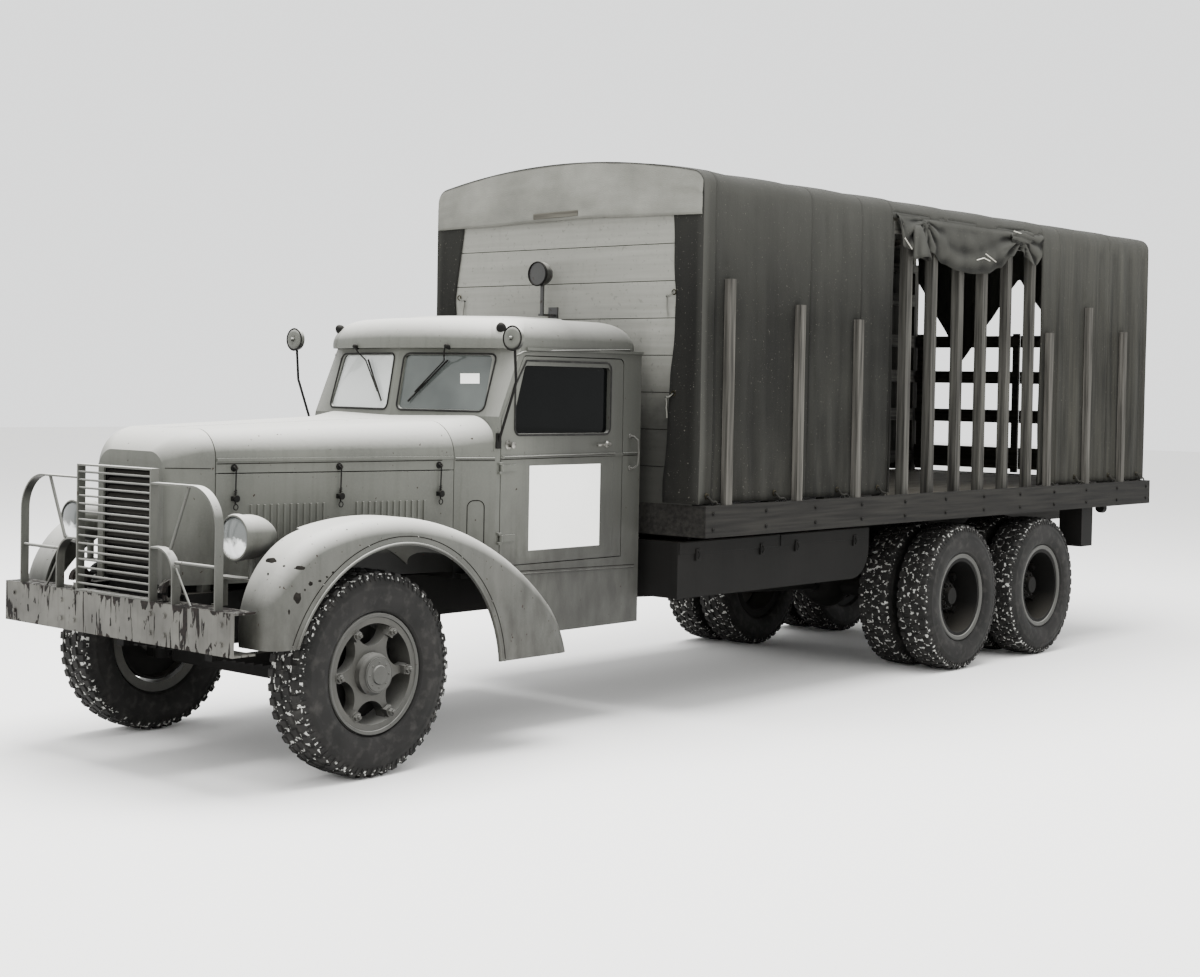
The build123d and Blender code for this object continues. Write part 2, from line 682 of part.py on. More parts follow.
LAMP_X, LAMP_Z, LAMP_R, LAMP_L = 715, 1280, 116, 270
LAMP_FRONT_Y = FRONT_AXLE_Y - 680

# Front fenders: a rolled crown with a broad side skirt round the wheel arch
# Crown outline from the front foot over the wheel to the tail, as (y, z)
CROWN = ((-4866, 700), (-4790, 1110), (-4500, 1315), (-3700, 1340), (-2780, 866), (-2590, 545))


def fender_profile(t=0):
    """Closed side outline under the crown curve, offset inward by t."""
    with BuildSketch(Plane.YZ) as outline:
        with BuildLine():
            bend = ThreePointArc(CROWN[0], CROWN[1], CROWN[2])
            for point in CROWN[3:]:
                bend = TangentArc(bend @ 1, point, tangent=bend % 1)
            run_out = Line(bend @ 1, bend @ 1 + (bend % 1) * 160)
            Line(run_out @ 1, ((run_out @ 1).X, 300))
            Line(((run_out @ 1).X, 300), (CROWN[0][0] + 30, 300))
            Line((CROWN[0][0] + 30, 300), CROWN[0])
        make_face()
        if t:
            offset(amount=-t, kind=Kind.INTERSECTION)
    return outline.sketch



def fender_skin():
    """The left fender: the filleted outer block less the same block one sheet smaller."""
    blocks = []
    for t in (0, FENDER_T):
        with BuildPart() as block:
            span = FENDER_OUT_X - FENDER_IN_X - 2 * t
            extrude(Location((FENDER_IN_X + t, 0, 0)) * fender_profile(t), amount=span)
            crown = block.edges().filter_by(lambda e: e.center().Z > 320 and e.bounding_box().size.X < 1)
            rims = crown.group_by(Axis.X)
            fillet(rims[-1], FENDER_ROLL - t)
            fillet(rims[0], FENDER_INNER_ROLL - t)
        blocks.append(block.part)
    return blocks[0] - blocks[1]


left_skin = fender_skin()
right_skin = mirror(left_skin, about=Plane.YZ)
with BuildPart() as fenders:
    add(left_skin)
    add(right_skin)
    slope = (HOOD_REAR_HALF_W - HOOD_FRONT_HALF_W) / (HOOD_REAR_Y - NOSE_SEAM_Y)
    reach_y = HOOD_REAR_Y - (HOOD_REAR_HALF_W + 10 - FENDER_IN_X) / slope
    with BuildSketch(Plane.XY):
        with BuildLine():
            Polyline(
                (0, -5200),
                (FENDER_LOBE_X, -5200),
                (FENDER_LOBE_X, LAMP_FRONT_Y + 300),
                (FENDER_IN_X, LAMP_FRONT_Y + 400),
                (FENDER_IN_X, reach_y),
                (HOOD_REAR_HALF_W + 10, HOOD_REAR_Y),
                (CAB_HALF_W + GAP, CAB_FRONT_Y),
                (CAB_HALF_W + GAP, -2000),
                (0, -2000),
                close=True,
            )
        make_face()
        mirror(about=Plane.YZ)
    extrude(amount=2000, mode=Mode.SUBTRACT)
    with BuildSketch(Plane.YZ.offset(-1500)):
        with BuildLine():
            ThreePointArc((-4692, 742), (-3990, 1228), (-3215, 538))
            Line((-3215, 538), (-2400, 538))
            Line((-2400, 538), (-2400, 200))
            Line((-2400, 200), (-5000, 200))
            Line((-5000, 200), (-5000, 742))
            Line((-5000, 742), (-4692, 742))
        make_face()
    extrude(amount=3000, mode=Mode.SUBTRACT)
keep(fenders, "front_fenders")

# Headlamps on brackets between the nose and the fenders
for name, lens in (("headlights", False), ("headlight_lenses", True)):
    with BuildPart() as lamp:
        for side in (-1, 1):
            with BuildSketch(Plane.XY.offset(LAMP_Z)) as outline:
                with BuildLine():
                    x = side * LAMP_X
                    if lens:
                        Polyline(
                            (x, LAMP_FRONT_Y - 14),
                            (x + side * 60, LAMP_FRONT_Y - 9),
                            (x + side * (LAMP_R - 12), LAMP_FRONT_Y + 6),
                            (x + side * (LAMP_R - 12), LAMP_FRONT_Y + 14 - GAP),
                            (x, LAMP_FRONT_Y + 14 - GAP),
                            close=True,
                        )
                    else:
                        Line((x, LAMP_FRONT_Y + 14), (x + side * (LAMP_R - 8), LAMP_FRONT_Y + 14))
                        Line(
                            (x + side * (LAMP_R - 8), LAMP_FRONT_Y + 14),
                            (x + side * (LAMP_R - 8), LAMP_FRONT_Y),
                        )
                        Line((x + side * (LAMP_R - 8), LAMP_FRONT_Y), (x + side * LAMP_R, LAMP_FRONT_Y))
                        Line((x + side * LAMP_R, LAMP_FRONT_Y), (x + side * LAMP_R, LAMP_FRONT_Y + 60))
                        ThreePointArc(
                            (x + side * LAMP_R, LAMP_FRONT_Y + 60),
                            (x + side * LAMP_R * 0.72, LAMP_FRONT_Y + LAMP_L * 0.7),
                            (x, LAMP_FRONT_Y + LAMP_L),
                        )
                        Line((x, LAMP_FRONT_Y + LAMP_L), (x, LAMP_FRONT_Y + 14))
                make_face()
            revolve(outline.sketch, axis=Axis((side * LAMP_X, 0, LAMP_Z), (0, 1, 0)))
            if not lens:
                rod(
                    (side * LAMP_X, LAMP_FRONT_Y + 110, LAMP_Z - 100),
                    (side * LAMP_X, LAMP_FRONT_Y + 110, 1060),
                    20,
                )
                box(
                    (side * 460, side * (LAMP_X + 60)),
                    (LAMP_FRONT_Y + 70, LAMP_FRONT_Y + 150),
                    (1050, 1062),
                )
                box((side * 460, side * 472), (LAMP_FRONT_Y + 70, LAMP_FRONT_Y + 150), (900, 1062))
                box(
                    (side * (FRAME_HALF_W + GAP), side * 472),
                    (LAMP_FRONT_Y + 70, LAMP_FRONT_Y + 150),
                    (900, 912),
                )
    keep(lamp, name)

# Front axle: forged beam on two leaf springs, with the spring hangers
AXLE_Z = TYRE_R
KING_X, KING_R = 800, 24
SPRING_X, SPRING_W = 392, 70
with BuildPart() as front_axle:
    box((-640, 640), (FRONT_AXLE_Y - 42, FRONT_AXLE_Y + 42), (AXLE_Z - 115, AXLE_Z - 15))
    for side in (-1, 1):
        box(
            (side * 560, side * (KING_X - 46)),
            (FRONT_AXLE_Y - 38, FRONT_AXLE_Y + 38),
            (AXLE_Z - 46, AXLE_Z + 46),
        )
        with Locations((side * KING_X, FRONT_AXLE_Y, AXLE_Z)):
            Cylinder(56, 96)
            Cylinder(KING_R + GAP, 100, mode=Mode.SUBTRACT)
        for leaf in range(8):
            reach = 560 - 62 * leaf
            z = AXLE_Z + 68 - 12 * leaf
            box(
                (side * (SPRING_X - SPRING_W / 2), side * (SPRING_X + SPRING_W / 2)),
                (FRONT_AXLE_Y - reach, FRONT_AXLE_Y + reach),
                (z - 12, z),
            )
        for end in (-1, 1):
            hanger = FRONT_AXLE_Y + end * 555
            box(
                (side * (SPRING_X - 30), side * (SPRING_X + 30)),
                (hanger - 35, hanger + 35),
                (AXLE_Z + 50, FRAME_LOW - GAP),
            )
keep(front_axle, "front_axle")

# Steering knuckles turning on the kingpins, each with its spindle and steering arm
ARM_Y, ARM_Z = 200, AXLE_Z - 120
TIE_X = KING_X - 100
for side, label in ((1, "knuckle_left"), (-1, "knuckle_right")):
    with BuildPart() as knuckle:
        with Locations((side * KING_X, FRONT_AXLE_Y, AXLE_Z)):
            Cylinder(KING_R, 240)
        for z in (AXLE_Z + 84, AXLE_Z - 84):
            with Locations((side * KING_X, FRONT_AXLE_Y, z)):
                Cylinder(50, 56)
        box(
            (side * (KING_X + 6), side * (KING_X + 84)),
            (FRONT_AXLE_Y - 45, FRONT_AXLE_Y + 45),
            (AXLE_Z - 110, AXLE_Z + 110),
        )
        with Locations((side * KING_X, FRONT_AXLE_Y, AXLE_Z)):
            Cylinder(62, 110, mode=Mode.SUBTRACT)
        with Locations((side * KING_X, FRONT_AXLE_Y, AXLE_Z)):
            Cylinder(KING_R, 240)
        rod(
            (side * (KING_X + 66), FRONT_AXLE_Y, AXLE_Z),
            (side * (FRONT_TYRE_X + 110), FRONT_AXLE_Y, AXLE_Z),
            30,
        )
        with BuildSketch(Plane.XY.offset(ARM_Z)):
            with BuildLine():
                Polyline(
                    (side * (KING_X - 22), FRONT_AXLE_Y),
                    (side * (KING_X + 22), FRONT_AXLE_Y),
                    (side * (TIE_X + 24), FRONT_AXLE_Y + ARM_Y + 24),
                    (side * (TIE_X - 24), FRONT_AXLE_Y + ARM_Y + 24),
                    close=True,
                )
            make_face()
        extrude(amount=24)
    keep(knuckle, label)

# Tie rod below the ends of the steering arms
TIE_R = 16
with BuildPart() as tie_rod:
    tie_y, tie_z = FRONT_AXLE_Y + ARM_Y, ARM_Z - 6 - 22
    rod((-TIE_X, tie_y, tie_z), (TIE_X, tie_y, tie_z), TIE_R)
    for side in (-1, 1):
        with Locations((side * TIE_X, tie_y, tie_z)):
            Cylinder(30, 44)
keep(tie_rod, "tie_rod")

# Engine, as one plain block at its real place and size, with the gearbox behind it
with BuildPart() as engine:
    box((-300, 300), (-4600, -3420), (700, 1480))
    box((-190, 190), (-3420, -2750), (640, 955))
    cut_box((-FRAME_HALF_W, -300), (-4700, -2600), (600, 1500))
    rod((0, -4600, 1150), (0, -4690, 1150), 60)
    rod((0, -4690, 1150), (0, -4706, 1150), 235)
    for side in (-1, 1):
        box(
            (side * 290, side * (FRAME_HALF_W - FRAME_T)), (-4300, -4220), (FRAME_LOW + 60, FRAME_LOW + 120)
        )
        box(
            (side * 180, side * (FRAME_HALF_W - FRAME_T)), (-3160, -3080), (FRAME_LOW + 60, FRAME_LOW + 120)
        )
keep(engine, "engine")

# Drive shafts from the gearbox to the two rear axles
NOSE_L, PINION_Z = 230, AXLE_Z + 15
with BuildPart() as shafts:
    rod((0, -2750 + GAP, 690), (0, -1320, 690), 45)
    rod((0, -1320, 690), (0, REAR_AXLE_YS[0] - NOSE_L - 2, PINION_Z), 45)
    rod((0, REAR_AXLE_YS[0] + NOSE_L + GAP, PINION_Z), (0, REAR_AXLE_YS[1] - NOSE_L - GAP, PINION_Z), 38)
    box((-70, 70), (-1370, -1270), (630, 740))
    box((-40, 40), (-1350, -1290), (700, FRAME_LOW + 40 - GAP))
keep(shafts, "drive_shafts")

# Rear bogie: two drive axles, springs on centre trunnions
HUB_FACE_X = REAR_TYRE_XS[0] - TYRE_W / 2 - 40
BOGIE_Y = sum(REAR_AXLE_YS) / 2
SPRING_Z = 640
with BuildPart() as rear_axles:
    for y in REAR_AXLE_YS:
        rod((-HUB_FACE_X, y, AXLE_Z), (HUB_FACE_X, y, AXLE_Z), 72)
        rod((-HUB_FACE_X - 300, y, AXLE_Z), (HUB_FACE_X + 300, y, AXLE_Z), 44)
        with Locations((0, y, AXLE_Z + 10)):
            Sphere(190)
        rod((0, y - NOSE_L, PINION_Z), (0, y + NOSE_L, PINION_Z), 60)
        for side in (-1, 1):
            box((side * 440, side * 560), (y - 70, y + 70), (AXLE_Z + 40, SPRING_Z + 20))
    for side in (-1, 1):
        for leaf in range(9):
            reach = 700 - 66 * leaf
            z = SPRING_Z + 20 + 14 * leaf
            box((side * 455, side * 545), (BOGIE_Y - reach, BOGIE_Y + reach), (z, z + 14))
        box((side * 440, side * 556), (BOGIE_Y - 90, BOGIE_Y + 90), (420, SPRING_Z + 20))
        box(
            (side * (FRAME_HALF_W + GAP), side * 452), (BOGIE_Y - 110, BOGIE_Y + 110), (420, FRAME_TOP - 60)
        )
    rod((-500, BOGIE_Y, 465), (500, BOGIE_Y, 465), 45)
keep(rear_axles, "rear_axles")


def tyre_points(centre, side):
    """Half section of a tyre as (along, radius) points, from bead to bead."""
    shape = (
        (-BEAD_HALF_W, BEAD_R),
        (-BEAD_HALF_W - 2, RIM_FLANGE_R + 4),
        (-TYRE_W / 2 + 14, BEAD_R + 72),
        (-TYRE_W / 2, BEAD_R + 128),
        (-TYRE_W / 2 + 8, BEAD_R + 195),
        (-TREAD_W / 2 - 6, TYRE_R - 30),
        (-TREAD_W / 2, TYRE_R - 8),
        (-TREAD_W / 4, TYRE_R),
        (TREAD_W / 4, TYRE_R),
        (TREAD_W / 2, TYRE_R - 8),
        (TREAD_W / 2 + 6, TYRE_R - 30),
        (TYRE_W / 2 - 8, BEAD_R + 195),
        (TYRE_W / 2, BEAD_R + 128),
        (TYRE_W / 2 - 14, BEAD_R + 72),
        (BEAD_HALF_W + 2, RIM_FLANGE_R + 4),
        (BEAD_HALF_W, BEAD_R),
        (BEAD_HALF_W - 22, BEAD_R),
        (TYRE_W / 2 - 34, BEAD_R + 120),
        (TREAD_W / 2 - 8, TYRE_R - 44),
        (-TREAD_W / 2 + 8, TYRE_R - 44),
        (-TYRE_W / 2 + 34, BEAD_R + 120),
        (-BEAD_HALF_W + 22, BEAD_R),
    )
    return [(centre + side * a, r) for a, r in shape]


def rim_points(centre, side):
    """Section of a rim: base band with an upright flange at each edge."""
    shape = (
        (-RIM_HALF_W, RIM_INNER_R),
        (RIM_HALF_W, RIM_INNER_R),
        (RIM_HALF_W, RIM_FLANGE_R),
        (BEAD_HALF_W + 6, RIM_FLANGE_R),
        (BEAD_HALF_W + 4.3, RIM_BASE_R + 0.7),
        (-BEAD_HALF_W - 4.3, RIM_BASE_R + 0.7),
        (-BEAD_HALF_W - 6, RIM_FLANGE_R),
        (-RIM_HALF_W, RIM_FLANGE_R),
    )
    return [(centre + side * a, r) for a, r in shape]


def spoke_star(x, tip_r, valley_r, tip_w):
    """Outline of a cast hub's arms: straight tips at the rim, joined by hollow curves."""
    half = math.degrees(math.asin(tip_w / 2 / tip_r))

    def at(radius, degrees):
        turn = math.radians(degrees)
        return (FRONT_AXLE_Y + radius * math.sin(turn), AXLE_Z + radius * math.cos(turn))

    with BuildSketch(Plane.YZ.offset(x)) as star:
        with BuildLine():
            for i in range(SPOKES):
                arm, after = 360 / SPOKES * (i + 0.5), 360 / SPOKES * (i + 1)
                Line(at(tip_r, arm - half), at(tip_r, arm + half))
                ThreePointArc(at(tip_r, arm + half), at(valley_r, after), at(tip_r, 2 * after - arm - half))
        make_face()
        with Locations((FRONT_AXLE_Y, AXLE_Z)):
            Circle(FRONT_HUB_R - 20, mode=Mode.SUBTRACT)
    return star.sketch


# Front wheels: a six-spoke cast hub carrying a demountable rim, and their tyres
for side, word in ((1, "left"), (-1, "right")):
    with BuildPart() as wheel:
        lathe(rim_points(side * FRONT_TYRE_X, side), y=FRONT_AXLE_Y, z=AXLE_Z)
        hub_in = side * (FRONT_TYRE_X - 46)
        hub_out = side * (FRONT_TYRE_X + 140)
        lathe(
            (
                (hub_in, 30 + GAP),
                (hub_in, FRONT_HUB_R - 20),
                (hub_in + side * 30, FRONT_HUB_R),
                (hub_out - side * 30, FRONT_HUB_R),
                (hub_out - side * 20, FRONT_HUB_R - 14),
                (hub_out, 60),
                (hub_out, 0),
                (side * (FRONT_TYRE_X + 112), 0),
                (side * (FRONT_TYRE_X + 112), 30 + GAP),
            ),
            y=FRONT_AXLE_Y,
            z=AXLE_Z,
        )
        star = spoke_star(side * (FRONT_TYRE_X + 7), RIM_INNER_R + 5, 146, 62)
        add(extrude(star, amount=side * 70, mode=Mode.PRIVATE))
        for i in range(SPOKES):
            angle = 360 / SPOKES * (i + 0.5)
            spoke = Location((side * (FRONT_TYRE_X + 42), FRONT_AXLE_Y, AXLE_Z), (angle, 0, 0))
            with Locations(spoke * Location((side * 42, 0, RIM_INNER_R - 21))):
                Box(42, 44, 58)
    keep(wheel, f"front_wheel_{word}")
    with BuildPart() as tyre:
        lathe(tyre_points(side * FRONT_TYRE_X, side), y=FRONT_AXLE_Y, z=AXLE_Z)
    keep(tyre, f"front_tyre_{word}")

# Rear dual wheels: two rims on one deep spoked hub, and their pairs of tyres
for number, y in enumerate(REAR_AXLE_YS, 1):
    for side, word in ((1, "left"), (-1, "right")):
        with BuildPart() as wheel:
            for x in REAR_TYRE_XS:
                lathe(rim_points(side * x, side), y=y, z=AXLE_Z)
            first, last = side * (REAR_TYRE_XS[0] + 20), side * (REAR_TYRE_XS[1] - 20)
            lathe(
                (
                    (first, 44 + GAP),
                    (first, REAR_HUB_R),
                    (last, REAR_HUB_R),
                    (last + side * 16, REAR_HUB_R - 30),
                    (last + side * 60, REAR_HUB_R - 36),
                    (last + side * 60, 0),
                    (last + side * 20, 0),
                    (last + side * 20, 44 + GAP),
                ),
                y=y,
                z=AXLE_Z,
            )
            lathe(
                (
                    (side * (REAR_TYRE_XS[0] + RIM_HALF_W - 6), RIM_INNER_R - 10),
                    (side * (REAR_TYRE_XS[1] - RIM_HALF_W + 6), RIM_INNER_R - 10),
                    (side * (REAR_TYRE_XS[1] - RIM_HALF_W + 6), RIM_INNER_R + 2),
                    (side * (REAR_TYRE_XS[0] + RIM_HALF_W - 6), RIM_INNER_R + 2),
                ),
                y=y,
                z=AXLE_Z,
            )
            for i in range(SPOKES):
                angle = 360 / SPOKES * i
                spoke = Location((side * (sum(REAR_TYRE_XS) / 2), y, AXLE_Z), (angle, 0, 0))
                with Locations(spoke * Location((0, 0, (REAR_HUB_R + RIM_INNER_R) / 2))):
                    Box(120, 72, RIM_INNER_R - REAR_HUB_R + 4)
                with Locations(spoke * Location((side * 80, 0, RIM_INNER_R - 22))):
                    Box(50, 44, 40)
        keep(wheel, f"rear_wheel_{number}_{word}")
        with BuildPart() as tyres:
            for x in REAR_TYRE_XS:
                lathe(tyre_points(side * x, side), y=y, z=AXLE_Z)
        keep(tyres, f"rear_tyres_{number}_{word}")

# Bed frame: long sills, cross sills and side rails
with BuildPart() as bed_frame:
    for side in (-1, 1):
        box(
            (side * (FRAME_HALF_W - SILL_W), side * FRAME_HALF_W),
            (BED_FRONT_Y + 10, REAR_Y - 10),
            (FRAME_TOP + GAP, RAIL_LOW + 2),
        )
        box((side * (BED_HALF_W - RAIL_T), side * BED_HALF_W), (BED_FRONT_Y, REAR_Y), (RAIL_LOW, RAIL_TOP))
    for y in CROSS_SILL_YS:
        box((-BED_HALF_W + RAIL_T, BED_HALF_W - RAIL_T), (y - 45, y + 45), (RAIL_LOW, FLOOR_TOP - PLANK_T))
    for y in (BED_FRONT_Y, REAR_Y - RAIL_T):
        box((-BED_HALF_W + RAIL_T, BED_HALF_W - RAIL_T), (y, y + RAIL_T), (RAIL_LOW, RAIL_TOP))
keep(bed_frame, "bed_frame")

# Bed floor: lengthwise planks with open joints
FLOOR_PLANKS = 12
with BuildPart() as bed_floor:
    floor_half = BED_HALF_W - RAIL_T - GAP
    pitch = 2 * floor_half / FLOOR_PLANKS
    for i in range(FLOOR_PLANKS):
        low = -floor_half + pitch * i
        box(
            (low, low + pitch - 4),
            (BED_FRONT_Y + RAIL_T + GAP, REAR_Y - RAIL_T - GAP),
            (FLOOR_TOP - PLANK_T + GAP, FLOOR_TOP),
        )
    for y in (BED_FRONT_Y + RAIL_T + 40, REAR_Y - RAIL_T - 80):
        box((-floor_half, floor_half - 4), (y, y + 40), (FLOOR_TOP - PLANK_T + GAP, FLOOR_TOP - 12))
keep(bed_floor, "bed_floor")

# Front bulkhead: stacked planks on end posts, notched over the bed's front rail
with BuildPart() as bulkhead:
    bulk_y = (BED_FRONT_Y, BED_FRONT_Y + BULKHEAD_T)
    rows = int((BULKHEAD_TOP - RAIL_TOP) / PLANK_H)
    for i in range(rows):
        z = RAIL_TOP + GAP + PLANK_H * i
        box((-RACK_OUT_X + 40, RACK_OUT_X - 40), bulk_y, (z, z + PLANK_H - 5))
    for x in (-1080, -380, 380, 1080):
        box((x - 35, x + 35), (bulk_y[1] - 1, bulk_y[1] + 45), (RAIL_TOP + GAP, BULKHEAD_TOP))
keep(bulkhead, "front_bulkhead")

# Side racks: posts, slats, boards and the top rail that carries the roof bows
rack_in_x = RACK_OUT_X - POST_D
GATE_HINGE_X, GATE_HINGE_Y = rack_in_x - 5, REAR_POST_YS[-1] + POST_W / 2 + 17
GATE_HINGE_ZS = (1492, 2236)
GATE_PIN_R = 8
with BuildPart() as racks:
    for side in (-1, 1):
        for y in POST_YS + SLAT_YS + REAR_POST_YS:
            box(
                (side * rack_in_x, side * RACK_OUT_X),
                (y - POST_W / 2, y + POST_W / 2),
                (FLOOR_TOP + GAP, RACK_TOP),
            )
        box(
            (side * rack_in_x, side * RACK_OUT_X),
            (BED_FRONT_Y + 90, REAR_POST_YS[-1] + 36),
            (RACK_TOP - TOP_RAIL_H, RACK_TOP),
        )
        for z in BOARD_ZS:
            for y in ((BED_FRONT_Y + 90, POST_YS[-1] + 30), (REAR_POST_YS[0] - 40, REAR_POST_YS[-1] - 70)):
                box((side * (rack_in_x - BOARD_T), side * (rack_in_x + 1)), y, (z, z + BOARD_H))
    for side in (-1, 1):
        for z in GATE_HINGE_ZS:
            low = z - 22 - GAP
            box(
                (side * (rack_in_x + 2), side * (rack_in_x + 50)),
                (GATE_HINGE_Y - 19, GATE_HINGE_Y + 8),
                (low - 14, low),
            )
            box(
                (side * GATE_HINGE_X, side * (rack_in_x + 3)),
                (GATE_HINGE_Y - 8, GATE_HINGE_Y + 8),
                (low - 14, low),
            )
            with Locations((side * GATE_HINGE_X, GATE_HINGE_Y, low)):
                Cylinder(GATE_PIN_R, 60)
keep(racks, "side_racks")

# Outer stakes bracing the canvas, standing on the side rails
STAKES = ((-1210, 2780), (-420, 2650), (300, 2580), (3130, 2580), (3820, 2810), (4480, 2630))
with BuildPart() as stakes:
    for side in (-1, 1):
        for y, top in STAKES:
            x = (side * (CANVAS_HALF_W + GAP), side * (BED_HALF_W - 4))
            box(x, (y - 32, y + 32), (RAIL_TOP + GAP, top))
keep(stakes, "outer_stakes")



def cover_section(inset=0, low=CANVAS_LOW):
    """Cross-section under the canvas: upright sides, round shoulders and a low crown."""
    w, r = CANVAS_HALF_W - inset, 90 - inset
    shoulder, crown = CANVAS_SHOULDER_Z - inset, CANVAS_CROWN_Z - inset
    with BuildSketch(Plane.XZ) as section:
        with BuildLine():
            Line((-w, low), (w, low))
            Line((w, low), (w, shoulder - r))
            ThreePointArc((w, shoulder - r), (w - r * 0.3, shoulder - r * 0.28), (w - r, shoulder + 8))
            ThreePointArc((w - r, shoulder + 8), (0, crown), (-w + r, shoulder + 8))
            ThreePointArc((-w + r, shoulder + 8), (-w + r * 0.3, shoulder - r * 0.28), (-w, shoulder - r))
            Line((-w, shoulder - r), (-w, low))
        make_face()
    return section.sketch


def cover_block(y, inset=0, low=CANVAS_LOW):
    """The canvas section run between two stations along the bed."""
    return Location((0, y[1], 0)) * extrude(
        cover_section(inset, low), amount=y[1] - y[0], mode=Mode.PRIVATE
    )


# Roof bows: bent timbers from side to side over the top rails
BOW_T = 48
BOW_YS = [BED_FRONT_Y + 130] + list(POST_YS[1:]) + list(SLAT_YS[1::2]) + list(REAR_POST_YS)
bow_seat = CANVAS_T + GAP
with BuildPart() as bows:
    for y in BOW_YS:
        add(cover_block((y - 25, y + 25), bow_seat, RACK_TOP + GAP))
        add(cover_block((y - 26, y + 26), bow_seat + BOW_T, RACK_TOP - 10), mode=Mode.SUBTRACT)
keep(bows, "roof_bows")

# Canvas cover: roof and sides in one sheet, open at mid-side, with front valance and rear curtain
OPENING_EDGE = ((1130, 3234), (1446, 3033), (1870, 2986), (2200, 3023), (2570, 3155), (2720, 3318))
CURTAIN_Y = 4880
CURTAIN_LOW, CURTAIN_TIP_Z, CURTAIN_TIP_X, CURTAIN_HALF_W = 3130, 2380, 570, 1078
VALANCE_LOW = 3175
with BuildPart() as canvas:
    add(cover_block((CANVAS_FRONT_Y, CANVAS_REAR_Y)))
    add(
        cover_block((CANVAS_FRONT_Y + CANVAS_T, CANVAS_REAR_Y + 1), CANVAS_T, CANVAS_LOW - 1),
        mode=Mode.SUBTRACT,
    )
    cut_box((-950, 920), (CANVAS_FRONT_Y - 1, CANVAS_FRONT_Y + CANVAS_T + 1), (CANVAS_LOW - 1, VALANCE_LOW))
    with BuildSketch(Plane.YZ.offset(-1500)):
        with BuildLine():
            Line((CANVAS_OPEN_Y[0], CANVAS_LOW - 1), (CANVAS_OPEN_Y[0], 3372))
            Line((CANVAS_OPEN_Y[0], 3372), OPENING_EDGE[0])
            Polyline(*OPENING_EDGE)
            Line(OPENING_EDGE[-1], (CANVAS_OPEN_Y[1], 3367))
            Line((CANVAS_OPEN_Y[1], 3367), (CANVAS_OPEN_Y[1], CANVAS_LOW - 1))
            Line((CANVAS_OPEN_Y[1], CANVAS_LOW - 1), (CANVAS_OPEN_Y[0], CANVAS_LOW - 1))
        make_face()
    extrude(amount=3000, mode=Mode.SUBTRACT)
    curtain = cover_block((CURTAIN_Y, CURTAIN_Y + CANVAS_T), 2, CURTAIN_LOW)
    with BuildSketch(Plane.XZ.offset(-CURTAIN_Y)) as tips:
        for side in (-1, 1):
            with BuildLine():
                Polyline(
                    (side * 8, CURTAIN_LOW + 5),
                    (side * CURTAIN_TIP_X, CURTAIN_TIP_Z),
                    (side * CURTAIN_HALF_W, CURTAIN_LOW + 5),
                    close=True,
                )
            make_face()
    add(curtain)
    extrude(tips.sketch, amount=-CANVAS_T)
    for side in (-1, 1):
        cut_box(
            (side * (rack_in_x - 30), side * (RACK_OUT_X + 4)),
            (CURTAIN_Y - 2, CURTAIN_Y + CANVAS_T + 2),
            (CURTAIN_LOW - 10, RACK_TOP + 12),
        )
keep(canvas, "canvas_cover")

# Rear gates: two outward-swinging ladders of boards, hinged on the last posts
GATE_ZS = ((1396, 1592), (1819, 1937), (2180, 2292), (2512, 2620))
for side, label in ((1, "rear_gate_left"), (-1, "rear_gate_right")):
    with BuildPart() as gate:
        for z in GATE_ZS:
            box((side * 8, side * (rack_in_x - 12)), (GATE_HINGE_Y - 66, GATE_HINGE_Y - 40), z)
        for x in (20, 405, 1010):
            box((side * x, side * (x + 62)), (GATE_HINGE_Y - 41, GATE_HINGE_Y - 14), (1364, 2640))
        for z in GATE_HINGE_ZS:
            box(
                (side * 960, side * (GATE_HINGE_X - 6)),
                (GATE_HINGE_Y - 15, GATE_HINGE_Y - 6),
                (z - 22, z + 22),
            )
            with Locations((side * GATE_HINGE_X, GATE_HINGE_Y, z)):
                Cylinder(16, 44)
                Cylinder(GATE_PIN_R + GAP, 60, mode=Mode.SUBTRACT)
    keep(gate, label)

# Work lamp on a bracket on the bulkhead
LAMP2_X, LAMP2_Y, LAMP2_Z = -70, BED_FRONT_Y - 120, 2825
with BuildPart() as lamp:
    with BuildSketch(Plane.YZ.offset(LAMP2_X)) as outline:
        with BuildLine():
            Line((LAMP2_Y - 50, LAMP2_Z), (LAMP2_Y - 50, LAMP2_Z + 80))
            Line((LAMP2_Y - 50, LAMP2_Z + 80), (LAMP2_Y - 10, LAMP2_Z + 80))
            ThreePointArc(
                (LAMP2_Y - 10, LAMP2_Z + 80), (LAMP2_Y + 45, LAMP2_Z + 50), (LAMP2_Y + 62, LAMP2_Z)
            )
            Line((LAMP2_Y + 62, LAMP2_Z), (LAMP2_Y - 50, LAMP2_Z))
        make_face()
    revolve(outline.sketch, axis=Axis((LAMP2_X, 0, LAMP2_Z), (0, 1, 0)))
    rod((LAMP2_X, LAMP2_Y, LAMP2_Z - 60), (LAMP2_X, LAMP2_Y, 2560), 14)
    box((LAMP2_X - 20, LAMP2_X + 20), (LAMP2_Y - 14, BED_FRONT_Y - GAP), (2548, 2562))
    box((LAMP2_X - 40, LAMP2_X + 40), (BED_FRONT_Y - 10, BED_FRONT_Y - GAP), (2500, 2610))
keep(lamp, "bulkhead_lamp")

